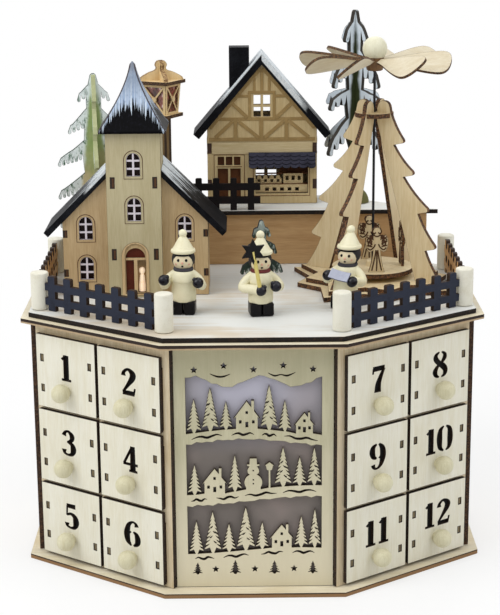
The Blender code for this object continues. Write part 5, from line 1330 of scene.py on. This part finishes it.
def buildSpire(look):
    half, tall, levels = look["spireWidth"] / 2, look["spireHeight"], 22
    rings = [spireRing(half - 0.3 * mm, -look["spireSkirt"])]
    for level in range(levels + 1):
        share = level / levels
        rounding = max(0.0, share - 0.93) / 0.07
        reach = half * (1 - share) ** 1.45 + 1.7 * mm * share * math.sqrt(1.02 - rounding ** 2)
        rings.append(spireRing(reach, tall * share))
    shape = lofted(rings)
    mark = shape.verts.layers.float.new("scorch")
    for vert in shape.verts:
        x, y = abs(vert.co.x), abs(vert.co.y)
        vert[mark] = 1.0 if max(x, y) - min(x, y) < 0.6 * mm and max(x, y) > 0.9 * mm else 0.0
    x, y, floor = look["at"]
    middle = (x, y - look["towerProud"] + look["towerWidth"] / 2)
    low = floor + look["towerHeight"] + 0.3 * mm + look["spireSkirt"]
    piece("churchSpire", put(shape, (*middle, low)), [spireIce(middle, low, tall)], "chest",
          "church_spire", smooth=40)


buildChurch(churchLook)
buildSpire(churchLook)
plate("church_roof", snowyRoof("churchRoofPaint", churchLook["roof"]))
print("church made")


# Lantern

lanternLook = {
    "at": mms(-61.5, 51.4, 170.8),
    "turn": math.radians(-29.5),
    "post": 9.2 * mm,
    "foot": 20 * mm,
    "cageLow": 110.6 * mm,
    "cageHeight": 20.8 * mm,
    "paneLow": 16 * mm,
    "paneHigh": 19 * mm,
    "plate": 2.4 * mm,
    "floorWidth": 21.6 * mm,
    "roofWidth": 24.6 * mm,
    "wood": (222, 198, 152),
    "woodDeep": (200, 170, 120),
}


def lanternSide(look):
    # frame of one side with crossed braces, leaning out with the panes
    low, high, tall = look["paneLow"] / 2, look["paneHigh"] / 2, look["cageHeight"]

    def corners(side, end):
        return [(-low + side, end), (low - side, end), (high - side, tall - end), (-high + side, tall - end)]

    middle, inner, panes = (0.0, tall / 2), corners(1.3 * mm, 1.2 * mm), []
    for index in range(4):
        a, b = inner[index], inner[(index + 1) % 4]
        across, up = ((a[part] + b[part] + middle[part]) / 3 for part in (0, 1))
        panes.append([(x + (across - x) * 0.16, y + (up - y) * 0.16) for x, y in (a, b, middle)])
    boss = put(spun(inMm([(0, -0.3), (1.9, -0.3), (1.9, 0.85), (0, 0.85)]), 16), tilt=quarter)
    return [stood(board(corners(-0.3 * mm, 0), 1.1 * mm, panes, 0.2 * mm), 0), put(boss, (0, 0, tall / 2))]


def lanternGlass():
    paint = Paint("lanternPanes", 0.22, Coat_Weight=0.4)
    flow = paint.clouds(210.0, 3.0, 0.6, (1.0, 1.0, 0.45))
    tone = paint.mix(flow.between(0.38, 0.62), (60, 32, 24), (150, 80, 66))
    # painted highlight: pale pink patches on the panes stand for reflections
    paint.give("Base Color", paint.mix(flow.between(0.56, 0.66), tone, (230, 208, 200)))
    paint.give("Roughness", 0.2 + flow * 0.15)
    return paint.material


def buildLantern(look):
    post, foot, cage, thick = look["post"], look["foot"], look["cageLow"], look["plate"]
    low, high = cage + thick, cage + thick + look["cageHeight"]
    shapes = [board(rectangle(foot, foot, -foot / 2), 3 * mm),
              coated(brick(post - 0.8 * mm, post - 0.8 * mm, cage - 3 * mm, (0, 0, 3 * mm), 0.2 * mm), 2)]
    for side in range(4):
        face = stood(board(rectangle(post - side % 2 * 6 * mm, cage - 3 * mm, 3 * mm), 3 * mm), -post / 2)
        shapes.append(coated(put(face, turn=side * quarter), 2))
    for width, level in ((look["floorWidth"], cage), (look["roofWidth"], high)):
        shapes.append(coated(put(board(rectangle(width, width, -width / 2), thick), (0, 0, level)), 3))
    panes = bmesh.new()
    root = math.sqrt(2)
    bmesh.ops.create_cone(panes, cap_ends=True, segments=4, radius1=(look["paneLow"] - 1 * mm) / root,
                          radius2=(look["paneHigh"] - 1 * mm) / root, depth=look["cageHeight"] + 0.4 * mm,
                          matrix=Matrix.Translation((0, 0, (low + high) / 2)) @ Matrix.Rotation(math.pi / 4, 4, "Z"))
    shapes.append(coated(panes, 1))
    lean = math.atan2(look["paneHigh"] - look["paneLow"], 2 * look["cageHeight"])
    for side in range(4):
        for part in lanternSide(look):
            put(part, (0, -look["paneLow"] / 2 - 0.5 * mm, low), tilt=lean)
            shapes.append(put(part, turn=side * quarter))
    ogee = [(15.6, -0.2), (15.6, 0), (15.2, 1.6), (13, 3.2), (10.4, 4.6), (8, 5.7), (5.8, 6.3), (4.4, 6.9),
            (3.5, 7.7), (3.4, 8.8), (4.0, 9.7), (4.1, 10.7), (3.6, 12.1), (2.5, 13.2), (1.2, 13.6)]
    for turn in (45, 135):
        hood = stood(board(mirrored(inMm(ogee)), 3 * mm), -1.5 * mm)
        shapes.append(put(put(hood, turn=math.radians(turn)), (0, 0, high + thick)))
    wood = look["wood"], look["woodDeep"]
    coats = [
        plywood("lanternPlywood", *wood, burnt=(104, 72, 42), toasted=(206, 174, 122)),
        lanternGlass(),
        plywood("lanternPost", (134, 108, 70), (92, 72, 44), burnt=(44, 32, 22), toasted=(70, 52, 34)),
        plywood("lanternPlates", *wood, "x", axis=(0, 0, 1), burnt=(46, 30, 20), toasted=(110, 80, 48)),
    ]
    piece("lantern", put(joined(shapes), look["at"], look["turn"]), coats, "chest", "lantern")


buildLantern(lanternLook)
print("lantern made")


# Fir trees

treeLook = {
    "left": {"at": mms(-108.6, 51, 170.8), "turn": math.radians(8), "height": 141.2 * mm,
             "boughs": ((11.3, 19), (18.4, 41.5), (26.2, 64), (26.6, 87), (26, 108)), "depth": 0.62, "foot": 9 * mm,
             "trunk": 4.6 * mm, "spray": 1.15 * mm, "pitch": 3.0 * mm, "hang": 4.2 * mm, "lean": math.radians(-72),
             "rim": 0.4 * mm, "lift": 4.0 * mm, "arch": 1.15, "under": 0.22},
    "right": {"at": mms(76, 98.5, 210.8), "turn": math.radians(45), "height": 139.2 * mm,
              "boughs": ((11.8, 21.5), (23.6, 53.5), (27.2, 69), (28.6, 101.5)), "depth": 0.98, "foot": 11 * mm,
              "trunk": 4.6 * mm, "spray": 1.9 * mm, "pitch": 5.6 * mm, "hang": 10 * mm, "lean": math.radians(-64),
              "rim": 0.65 * mm, "lift": 4.5 * mm, "arch": 0.72, "under": 0.3},
    "ply": 3 * mm,
}


def boughs(shape, share, rng):
    # right half of a fir: every bough sweeps out and down and ends in round-tipped sprays
    height, trunk, radius, lean = shape["height"], shape["trunk"], shape["spray"], math.degrees(shape["lean"])
    line = arc(trunk * 0.5, 78, 10, 4, (0, height - trunk * 0.5))
    above = height - trunk * 0.8
    for reach, drop in shape["boughs"]:
        tip, level = reach * mm * share - radius, height - drop * mm + radius
        fall, lift = above - level, shape["lift"]
        inner = min(max(tip * 0.3, trunk * 0.8), tip * 0.55)

        def edge(out):
            return level + lift + (fall * 0.72 - lift) * (1 - out) ** shape["arch"]

        for out in (0.0, 0.22, 0.44, 0.64, 0.82, 0.95):
            line.append((inner + (tip - inner) * out, edge(out) + (rng.random() - 0.5) * radius * 0.4))
        sprays = max(1, round((tip - inner) / shape["pitch"]))
        pitch = (tip - inner) / sprays
        for spray in range(sprays):
            x = tip - pitch * spray
            z = level + fall * shape["under"] * spray / sprays - rng.random() * radius * 0.6
            size = min(radius, pitch * 0.4) if spray else radius
            line += arc(size, lean + 85, lean - 85, 5, (x, z))
            out = 1 - (spray + 0.5) / sprays
            notch = min(z + shape["hang"], z + (edge(out) - z) * 0.62)
            line.append((max(x - pitch * 0.5, inner), notch))
        above = level
    return line + [(trunk, above), (trunk, 0.0)]


def firSheet(shape, share, thick, rng):
    right, left = boughs(shape, share, rng), boughs(shape, share, rng)
    return stood(board(right + [(-x, z) for x, z in reversed(left)], thick, rim=shape["rim"]), -thick / 2)


def firPaint(name, place, tall, boughSnow, boughGreen, centreHigh, centreLow, edgeTone, level, spread, coverage):
    # snow on the boughs, green strokes under it, and a bare centre that widens downwards
    paint = Paint(name, 0.75, Specular_IOR_Level=0.25)
    local = paint.vector("SUBTRACT", paint.spot, place)
    radius = paint.vector("LENGTH", paint.vector("MULTIPLY", local, (1, 1, 0)), (0, 0, 0), "Value")
    height = paint.node("ShaderNodeSeparateXYZ", {}, {"Vector": local}, "Z")
    blots = paint.clouds(380.0, 4.0, 0.65, (1.0, 1.0, 0.45))
    broad, fine = paint.clouds(110.0, 2.0, 0.5), paint.clouds(1300.0, 2.0, 0.6)
    outer = (radius - (tall - height) * spread + (broad - 0.5) * (4 * mm)).between(0.2 * mm, 3.2 * mm)
    green = (blots * 0.75 + broad * 0.25).between(coverage, coverage + 0.1)
    low = 1.0 - (height + (broad - 0.5) * (50 * mm)).between(level * 0.7, level * 1.3)
    middle = paint.mix(low, centreHigh, centreLow)
    middle = paint.mix((blots - 0.2).between(0.2, 0.5) * 0.25, middle, [part * 0.75 for part in centreHigh])
    colour = paint.mix(outer, middle, paint.mix(green, boughSnow, boughGreen))
    tipSnow = (height + (blots - 0.5) * (20 * mm)).between(tall * 0.86, tall * 0.93)
    colour = paint.mix(tipSnow * 0.6, colour, boughSnow)
    edge = (scorchOf(paint) + (fine - 0.5) * 0.4).between(0.35, 0.8)
    return paint.done(paint.mix(edge, colour, edgeTone), 0.72 + (fine - 0.5) * 0.2, blots * 0.6 + fine * 0.4, 0.5,
                      0.0005)


def buildTrees(look):
    left, right = look["left"], look["right"]
    moss = painted("treeFootMoss", (98, 96, 54), (62, 62, 34), 0.85, speck=1.0)
    leftCoat, leftCross = (firPaint(name, left["at"], left["height"], (224, 232, 230), (82, 112, 90), (150, 168, 108),
                                    (206, 190, 150), edgeTone, 78 * mm, 0.1, 0.5)
                           for name, edgeTone in (("treeLeftPaint", (46, 60, 50)),
                                                  ("treeLeftCrossPaint", (178, 182, 138))))
    rightCoat = firPaint("treeRightPaint", right["at"], right["height"], (206, 216, 224), (84, 98, 90),
                         (50, 58, 30), (54, 62, 32), (46, 42, 36), 40 * mm, 0.075, 0.6)
    for name, coats, seed in (("left", [leftCoat, moss, leftCross], 17), ("right", [rightCoat, moss, rightCoat], 5)):
        shape, rng = look[name], random.Random(seed)
        wide = firSheet(shape, 1.0, look["ply"], rng)
        crossing = put(firSheet(shape, shape["depth"], look["ply"], rng), turn=quarter)
        bmesh.ops.scale(crossing, vec=(1, 1, 0.998), verts=crossing.verts)
        dome = spun([(0, 0)] + arc(shape["foot"], 0, 84, 10) + [(0, shape["foot"])], 28)
        tree = put(joined([wide, coated(crossing, 2), coated(dome, 1)]), shape["at"], shape["turn"])
        piece("tree" + name.capitalize(), tree, coats, "chest", "tree_" + name)


buildTrees(treeLook)
print("trees made")


# Candle pyramid: star, legs, turntable and vane wheel

pyramidLook = {
    "at": mms(83.4, 11.8, 170.8),
    "turn": math.radians(10.6),
    "ply": 3 * mm,
    "rays": (64 * mm, 44 * mm, 53 * mm, 44 * mm),
    "starStep": 6 * mm,
    "foot": 53.6 * mm,
    "footInner": 34 * mm,
    "legHeight": 120.6 * mm,
    "shoulder": 14.2 * mm,
    "boughs": ((48.5, 24.8), (42.6, 49.6), (31.0, 73.5), (23.4, 94.6)),
    "turntableRise": 180.2 * mm,
    "turntableRadius": 28 * mm,
    "angelRadius": 20 * mm,
    "angelPhase": math.radians(-97.6),
    "wheelRise": 331.4 * mm,
    "ball": 8.3 * mm,
    "vanes": 8,
    "vanePitch": math.radians(33),
    "vanePhase": math.radians(-72.6),
    "vaneDrop": 8.2 * mm,
    "looseVane": (7, math.radians(-8), math.radians(6)),
    "pale": (220, 204, 168),
    "deep": (200, 178, 136),
    "vanePale": (214, 205, 182),
    "vaneDeep": (198, 184, 154),
}


def bowed(start, end, sag):
    # a hollow curve between two points, pulled towards the shaft and down
    middle, steps = [(a + b) / 2 - sag for a, b in zip(start, end)], 6
    return [tuple((1 - t) ** 2 * a + 2 * t * (1 - t) * m + t * t * b for a, m, b in zip(start, middle, end))
            for t in (step / steps for step in range(steps + 1))]


def legOutline(look):
    # half a fir with hollow-curved boughs, (distance from the shaft, height above the star)
    tall = look["legHeight"]
    outline, start = [(look["footInner"], 0)], (look["foot"], 0)
    for reach, rise in look["boughs"]:
        outline += bowed(start, mms(reach - 7.6, rise - 3.2), 1.5 * mm)
        outline += inMm([(reach - 1.2, rise - 1.7), (reach - 0.1, rise - 0.9), (reach - 0.1, rise + 0.3)])
        start = mms(reach - 0.7, rise + 1.3)
    outline += bowed(start, (13.4 * mm, tall - 8 * mm), 1.2 * mm)
    outline += arc(4.6 * mm, 12, 160, 8, (8 * mm, tall - 4.6 * mm))
    return outline + [(3 * mm, tall - 5.5 * mm), (3 * mm, tall - look["shoulder"])]


def starBoard(look, shrink):
    outline = []
    for step in range(16):
        reach, angle = look["rays"][(step + 2) % 4] - shrink, step * math.pi / 8
        outline.append((reach * math.cos(angle), reach * math.sin(angle)))
    return board(outline, look["ply"], rim=0.3 * mm)


def buildStand(look, wood):
    thick, top = look["ply"], 2 * look["ply"]
    shapes = [starBoard(look, 0.0), put(starBoard(look, look["starStep"]), (0, 0, thick))]
    for leg in range(4):
        shape = stood(board(legOutline(look), thick, rim=0.3 * mm), -thick / 2)
        shapes.append(put(put(shape, turn=math.pi / 4 + leg * quarter), (0, 0, top)))
    disc = board(arc(13 * mm, 0, 351, 39), thick, [arc(1.2 * mm, 0, 330, 11)])
    bush = spun(inMm([(1.2, 0), (4, 0), (4, 2.0), (3.4, 2.6), (1.2, 2.6), (1.2, 0)]), 20)
    shapes += [put(disc, (0, 0, top + look["legHeight"] - 11.2 * mm)), put(bush, (0, 0, top))]
    whole = put(joined(shapes), look["at"], look["turn"])
    piece("pyramidStand", whole, [wood], "chest", "pyramid_stand")


def scroll(across, up, wide, tall, steps, fade, pace, start):
    # a spiral that winds in
    line = []
    for step in range(steps):
        share, angle = 1 - step / fade, step * pace + start
        line.append((across + wide * share * math.cos(angle), up + tall * share * math.sin(angle)))
    return line


def angel():
    # a flat figure with a long robe and two wings; scored scrolls on both faces
    half = [(5.4, 0), (5.0, 1.6), (3.7, 6.4), (2.8, 11.5), (2.4, 15.2), (4.4, 13.9), (6.2, 14.6), (7.4, 17.2),
            (7.9, 20.6), (7.4, 23.8), (6.2, 25.7), (4.4, 24.6), (3.0, 22.6), (2.3, 22.3), (2.6, 24.4)]
    outline = mirrored(inMm(half + arc(3.1, -40, 88, 7, (0, 27.9))))
    shapes = [stood(board(outline, 2 * mm, rim=0.5 * mm), -1 * mm)]
    right = [scroll(5.0, 20.6, 1.9, 3.6, 19, 20, 0.55, 0.4), scroll(3.7, 24.0, 1.3, 1.3, 14, 16, 0.6, 0.0)]
    right += [smoothLine(points, 4) for points in (
        [(2.2, 30.2), (3.0, 28.2), (2.0, 26.6), (0.8, 27.6)], [(1.1, 19.5), (2.2, 17.2), (4.6, 15.6), (6.4, 17.0)],
        [(0.6, 15.4), (1.5, 9.6), (3.3, 1.2)])]
    right += [[(3.2, 21.2), (6.6, 24.6)], [(3.0, 19.4), (7.0, 21.6)], [(3.1, 17.8), (6.9, 18.6)]]
    lines = [[(hand * x, z) for x, z in line] for hand in (-1, 1) for line in right]
    chin = smoothLine([(-2.3, 26.0), (-0.9, 24.9), (0.9, 24.9), (2.3, 26.0)], 4)
    lines += [[(0, 14.6), (0.1, 8.0), (-0.1, 0.9)], chin]
    for line in lines:
        shapes += [coated(scored(inMm(line), face * mm, 0.5 * mm), 1) for face in (-1, 1)]
    return shapes


def buildTurntable(look, wood, burn):
    thick = look["ply"]
    shapes = [board(arc(look["turntableRadius"], 0, 354, 59), thick, [arc(1.2 * mm, 0, 330, 11)], 0.35 * mm),
              spun(inMm([(1.2, 0), (4.5, 0), (4.5, 3.2), (3.9, 4), (1.2, 4), (1.2, 0)], thick), 24)]
    for index in range(4):
        for part in angel():
            put(part, (0, -look["angelRadius"], thick))
            shapes.append(put(part, turn=look["angelPhase"] + quarter + index * quarter))
    whole = put(joined(shapes), (*look["at"][:2], look["turntableRise"]), look["turn"])
    piece("turntable", whole, [wood, burn], "carousel", "turntable", smooth=35)


def vane(look, index):
    # a broad paddle with a narrow root, round shoulders and a blunt outer end
    root, *half = inMm([(4.6, 2.1), (9, 2.6), (15, 4.1), (24, 6.9), (34, 9.6), (41, 10.9), (45.5, 11.0), (48.6, 9.6),
                        (50.6, 6.4), (51.3, 3.0)])
    upper = [root, *smoothLine(half, 3)]
    outline = [(x, -y) for x, y in upper] + [(51.5 * mm, 0)] + upper[::-1]
    blade = put(board(outline, 1.8 * mm, rim=0.35 * mm), (0, 0, -0.9 * mm))
    turn, pitch = look["vanePhase"] + index * 2 * math.pi / look["vanes"], look["vanePitch"]
    loose, moreTurn, morePitch = look["looseVane"]
    if index == loose:
        turn, pitch = turn + moreTurn, pitch + morePitch
    return put(put(blade, tilt=pitch), (0, 0, -look["vaneDrop"]), turn)


def buildWheel(look, wood):
    ball = look["ball"]
    neck = spun(inMm([(0, -12), (4.6, -12), (5.4, -11.4), (6, -9), (6, 0), (0, 0)], -ball * 0.3), 28)
    shapes = [vane(look, index) for index in range(look["vanes"])] + [coated(neck, 2)]
    shapes.append(coated(spun([(0, -ball)] + arc(ball, -84, 84, 18) + [(0, ball)], 36), 1))
    coats = [wood, plywood("wheelBall", (228, 226, 204), (212, 208, 180), scorched=False, roughness=0.45),
             plywood("wheelHub", (120, 88, 52), (84, 58, 34), scorched=False, roughness=0.6)]
    whole = put(joined(shapes), (*look["at"][:2], look["wheelRise"]), look["turn"])
    piece("pyramidWheel", whole, coats, "carousel", "pyramid_wheel", smooth=40)


def buildPyramid(look):
    wood = plywood("pyramidPlywood", look["pale"], look["deep"], burnt=(42, 26, 16), toasted=(132, 90, 54))
    burn = painted("angelScroll", (74, 48, 28), (44, 28, 18), 0.8, speck=0.7)
    buildStand(look, wood)
    buildTurntable(look, wood, burn)
    buildWheel(look, plywood("vanePlywood", look["vanePale"], look["vaneDeep"], "x", burnt=(48, 32, 20),
                             toasted=(124, 90, 56)))


buildPyramid(pyramidLook)
print("pyramid made")


# Three singers

singerLook = {
    "floor": 170.8 * mm,
    "places": {"left": (-44.2 * mm, -62.8 * mm, -4, 0), "middle": (5.3 * mm, -68.6 * mm, 8, 0),
               "right": (60.4 * mm, -53.4 * mm, -24, 5)},
    "mittens": {"left": ((-11.9, -8, 23.2), (10.1, -8, 21.6)), "middle": ((-1.5, -11, 18.2), (8.4, -9.5, 20.2)),
                "right": ((-9, -11, 23.2), (8, -11, 20.2))},
    "boot": mms(7.3, 13, 8.6),
    # turned outlines as (radius, height) in mm: the coat's from the floor, the scarf's from the shoulder, and
    # those of band and hat from the brim
    "coat": [(0, 8.2), (7.5, 8.2), (7.9, 9.0), (8.1, 11.6), (7.9, 16), (7.6, 20.4), (7.8, 20.9), (8.2, 21.3),
             (8.2, 22.2), (8.0, 23.6), (7.5, 26.0), (6.6, 27.8), (5.2, 28.9), (4.0, 29.6), (0, 29.8)],
    "scarf": [(4.2, -1.9), (6.0, -1.5), (6.6, -0.4), (6.2, 0.7), (4.4, 1.2), (4.2, -1.9)],
    "band": [(5.4, -1.9), (6.4, -1.7), (6.6, -0.7), (6.4, 0.4), (5.2, 0.4), (5.4, -1.9)],
    "hat": [(0, 0.3), (6.4, 0.2), (7.3, -0.3), (7.9, 0.2), (8.0, 1.0), (7.6, 1.9), (6.9, 2.1), (6.6, 2.6), (5.2, 5.1),
            (3.6, 7.9), (2.2, 10.1), (1.4, 11.1), (0, 11.3)],
    "shoulder": 29.2 * mm,
    "head": 6.9 * mm,
    "bobble": 2.7 * mm,
    "hair": 0.6 * mm,
    "hairBack": 1.15 * mm,
    "hairLift": 0.55 * mm,
    "sleeve": 3.0 * mm,
    "mitten": 3.6 * mm,
    "scarves": {"left": ((58, 56, 62), (86, 84, 88)), "middle": ((104, 44, 44), (70, 28, 30)),
                "right": ((48, 46, 52), (78, 76, 80))},
    "cream": (230, 224, 192),
    "creamDeep": (208, 198, 154),
}


def singerBody(look):
    shoulder, head = look["shoulder"], look["head"]
    middle = shoulder + head * 0.82
    brim = middle + head * 0.75
    ball = [(0, middle - head)] + arc(head, -84, 84, 18, (0.0, middle)) + [(0, middle + head)]
    shapes = [
        coated(spun(inMm(look["coat"]), 36), 0),
        coated(spun(ball, 32), 1),
        coated(pellet(head + look["hair"], (0, look["hairBack"], middle + look["hairLift"]), 4), 9),
        coated(spun(inMm(look["scarf"], shoulder), 32), 3),
        coated(spun(inMm(look["band"], brim), 32), 2),
        coated(spun(inMm(look["hat"], brim), 36), 0),
        coated(pellet(look["bobble"], (0, 0, brim + 10.7 * mm + look["bobble"] * 0.5), 3), 0),
    ]
    for hand in (-1, 1):
        boot = brick(*look["boot"], (hand * 3.95 * mm, -0.8 * mm, 0), 1.1 * mm, 3)
        eye = pellet(0.95 * mm, (hand * 2.5 * mm, -6.3 * mm, middle + 0.9 * mm), 2, (1, 0.55, 1.1))
        cheek = pellet(0.85 * mm, (hand * 3.8 * mm, -5.2 * mm, middle - 1.7 * mm), 2, (1.2, 0.4, 1))
        shapes += [coated(boot, 2), coated(eye, 2), coated(cheek, 5)]
    nose = pellet(0.8 * mm, (0, -6.9 * mm, middle - 0.8 * mm))
    mouth = pellet(0.8 * mm, (0, -6.15 * mm, middle - 2.9 * mm), 2, (1, 0.5, 1))
    return shapes + [coated(nose, 5), coated(mouth, 2)]


def singerArms(mittens, look):
    shapes = []
    for hand, place in zip((-1, 1), mittens):
        end, elbow = mms(*place), mms(hand * 12.0, -2.4, 18.6)
        between = tuple((a + b) / 2 for a, b in zip(elbow, end))
        path = smoothLine([mms(hand * 5.0, 0, 26.0), mms(hand * 9.4, -0.8, 22.6), elbow, between, end], 4)
        way = (Vector(end) - Vector(elbow)).normalized()
        turn = Vector((0, 0, 1)).rotation_difference(way).to_matrix().to_4x4()
        cuff = spun(inMm([(2.0, -0.9), (3.3, -0.9), (3.6, 0), (3.3, 0.9), (2.0, 0.9), (2.0, -0.9)]), 20)
        at = Vector(end) - way * 2.2 * mm
        bmesh.ops.transform(cuff, matrix=Matrix.Translation(at) @ turn, verts=cuff.verts)
        thumb = pellet(1.5 * mm, Vector(end) + Vector(mms(-hand * 2.2, -1.0, 2.3)))
        shapes += [coated(tube(path, look["sleeve"], sides=5), 0), coated(cuff, 0),
                   coated(pellet(look["mitten"], end, 3), 4), coated(thumb, 4)]
    return shapes


def starOnStick():
    low, high = mms(-1.5, -12, 16.2), mms(-6.6, -12.6, 44.2)
    star = stood(board(starOutline(0, 0, 8.2 * mm, 6, 0.52), 2.2 * mm, rim=0.3 * mm), -1.1 * mm)
    return [coated(tube([low, high], 1.3 * mm, sides=4), 6), coated(put(star, high), 2)]


def backFir():
    shape = {"height": 52 * mm, "boughs": ((6, 11), (10, 22), (13.8, 35)), "trunk": 3 * mm, "spray": 1.1 * mm,
             "pitch": 2.6 * mm, "hang": 3.0 * mm, "lean": math.radians(-65), "rim": 0.35 * mm, "lift": 4.0 * mm,
             "arch": 0.8, "under": 0.1}
    sheet = firSheet(shape, 1.0, 3 * mm, random.Random(3))
    return [coated(put(sheet, mms(2, 8.8, 7.74)), 7)]


def songBook():
    # an open folder held low between the mittens, a shallow fold along its middle
    shapes = []
    for hand in (-1, 1):
        leaf = board(inMm([(0, -3.2), (7, -3.2), (7, 3.2), (0, 3.2)]), 1.4 * mm, rim=0.2 * mm)
        leaf = put(leaf, lean=math.radians(-10))
        if hand < 0:
            bmesh.ops.scale(leaf, vec=(-1, 1, 1), verts=leaf.verts)
            bmesh.ops.recalc_face_normals(leaf, faces=leaf.faces)
        leaf = put(put(leaf, tilt=math.radians(52)), lean=math.radians(10))
        shapes.append(coated(put(leaf, mms(-0.6, -11.6, 23.2)), 8))
    return shapes


def singerPaints(look):
    # all but the scarf, which are shared by the three
    middle = (*look["places"]["middle"][:2], look["floor"])
    return [
        painted("coatCream", look["cream"], look["creamDeep"], 0.5, speck=0.55, coat=0.15),
        painted("faceCream", (226, 212, 178), (210, 192, 152), 0.45, speck=0.4, coat=0.2),
        glossy("bootBlack", (9, 8, 10), (20, 18, 22), 0.35, 700.0, 0.8, shine=0.15),
        glossy("mittenNavy", (9, 9, 18), (18, 18, 34), 0.12, 220.0, 0.8, shine=0.28),
        painted("cheekPink", (214, 160, 140), (224, 190, 164), 0.5, speck=0.9),
        painted("stickYellow", (214, 198, 120), (184, 164, 84), 0.5, speck=0.7),
        firPaint("backFirPaint", middle, 60 * mm, (168, 178, 172), (40, 54, 46), (34, 46, 40), (34, 46, 40),
                 (24, 26, 24), 1 * mm, 0.03, 0.4),
        painted("songBookBlue", (172, 176, 192), (138, 144, 166), 0.55, speck=0.6, edgeTone=(104, 108, 128)),
        plywood("hairBlack", (36, 31, 32), (18, 15, 16), scorched=False, roughness=0.7),
    ]


def buildSingers(look):
    shared = singerPaints(look)
    extras = {"left": [], "middle": starOnStick() + backFir(), "right": songBook()}
    for name, (across, forward, turn, lean) in look["places"].items():
        scarf = painted("scarf" + name.capitalize(), *look["scarves"][name], 0.7, speck=0.8)
        whole = joined(singerBody(look) + singerArms(look["mittens"][name], look) + extras[name])
        for vert in whole.verts:
            vert.co.x += max(vert.co.z - 8.6 * mm, 0.0) * math.tan(math.radians(lean))
        put(whole, (across, forward, look["floor"]), math.radians(turn))
        piece("singer" + name.capitalize(), whole, [*shared[:3], scarf, *shared[3:]], "chest",
              "singer_" + name, smooth=45)


buildSingers(singerLook)
print("singers made")


# Light, floor and camera

cameraLook = {
    "sensor": 36.0,
    # focal length and the picture's longer side, both in picture points
    "focal": 1668.79,
    "picture": 615.0,
    "at": mms(-5.975, -1106.68, 449.41),
    "turns": (-0.0042, -0.2584, -0.0081),
}

# name, side, height in degrees, distance, size and power of each lamp
softboxes = (("leftSoftbox", -62, 42, 1.7, 1.2, 15.5), ("rightSoftbox", 68, 42, 1.7, 1.2, 8.5),
             ("topSoftbox", 0, 82, 1.8, 1.4, 7.0), ("backSoftbox", 180, 45, 1.9, 1.2, 8.0))


def studio():
    # white to the camera and in reflections, and a softer pale light on everything
    world = bpy.data.worlds.new("paleRoom")
    bpy.context.scene.world = world
    world.use_nodes = True
    tree = world.node_tree
    tree.nodes.clear()
    rays = tree.nodes.new("ShaderNodeLightPath")
    share = rays.outputs["Is Camera Ray"]
    for kind in ("Is Transmission Ray", "Is Glossy Ray"):
        either = tree.nodes.new("ShaderNodeMath")
        either.operation = "MAXIMUM"
        tree.links.new(share, either.inputs[0])
        tree.links.new(rays.outputs[kind], either.inputs[1])
        share = either.outputs[0]
    choose = tree.nodes.new("ShaderNodeMixShader")
    tree.links.new(share, choose.inputs["Fac"])
    for place, colour, strength in ((1, (0.97, 0.985, 1.0, 1.0), 0.5), (2, (1.0, 1.0, 1.0, 1.0), 1.0)):
        light = tree.nodes.new("ShaderNodeBackground")
        light.inputs["Color"].default_value = colour
        light.inputs["Strength"].default_value = strength
        tree.links.new(light.outputs[0], choose.inputs[place])
    tree.links.new(choose.outputs[0], tree.nodes.new("ShaderNodeOutputWorld").inputs["Surface"])


def paleFloor():
    bm = bmesh.new()
    bmesh.ops.create_grid(bm, x_segments=8, y_segments=8, size=40.0, matrix=Matrix.Translation((0, 0, -0.0002)))
    floor = shown("floor", meshOf("floor", bm))
    paint = Paint("paleFloor", 0.9)
    tree = paint.tree
    far = paint.vector("LENGTH", paint.spot, (0, 0, 0), "Value").between(0.2, 0.75)
    paint.shader.inputs["Base Color"].default_value = (0.84, 0.84, 0.84, 1.0)
    glow = tree.nodes.new("ShaderNodeEmission")
    glow.inputs["Color"].default_value = (1.0, 1.0, 1.0, 1.0)
    seen, glossed = (paint.node("ShaderNodeLightPath", {}, {}, kind) for kind in ("Is Camera Ray", "Is Glossy Ray"))
    share = seen.largest(glossed) * (0.62 + far * 0.38)
    choose = tree.nodes.new("ShaderNodeMixShader")
    for start, socket in ((share.socket, "Fac"), (paint.shader.outputs[0], 1), (glow.outputs[0], 2)):
        tree.links.new(start, choose.inputs[socket])
    tree.links.new(choose.outputs[0], tree.nodes["Material Output"].inputs["Surface"])
    floor.data.materials.append(paint.material)


def softbox(name, azimuth, elevation, distance, size, power):
    lamp = bpy.data.lights.new(name, "AREA")
    lamp.size = size
    lamp.energy = power
    item = shown(name, lamp)
    side, up = math.radians(azimuth), math.radians(elevation)
    way = Vector((math.sin(side) * math.cos(up), -math.cos(side) * math.cos(up), math.sin(up)))
    item.location = Vector((0, 0, 0.17)) + way * distance
    item.rotation_euler = way.to_track_quat("Z", "Y").to_euler()


def photoCamera(look):
    lens = bpy.data.cameras.new("camera")
    lens.sensor_width = look["sensor"]
    lens.lens = look["focal"] * look["sensor"] / look["picture"]
    lens.clip_start, lens.clip_end = 0.05, 200.0
    item = shown("camera", lens)
    pan, tilt, roll = look["turns"]
    turn = Matrix.Rotation(pan, 4, "Z") @ Matrix.Rotation(quarter + tilt, 4, "X")
    item.matrix_world = Matrix.Translation(look["at"]) @ turn @ Matrix.Rotation(roll, 4, "Z")
    bpy.context.scene.camera = item


bpy.context.scene.view_settings.view_transform = "Standard"
studio()
paleFloor()
for values in softboxes:
    softbox(*values)
photoCamera(cameraLook)
print("camera and lights placed")
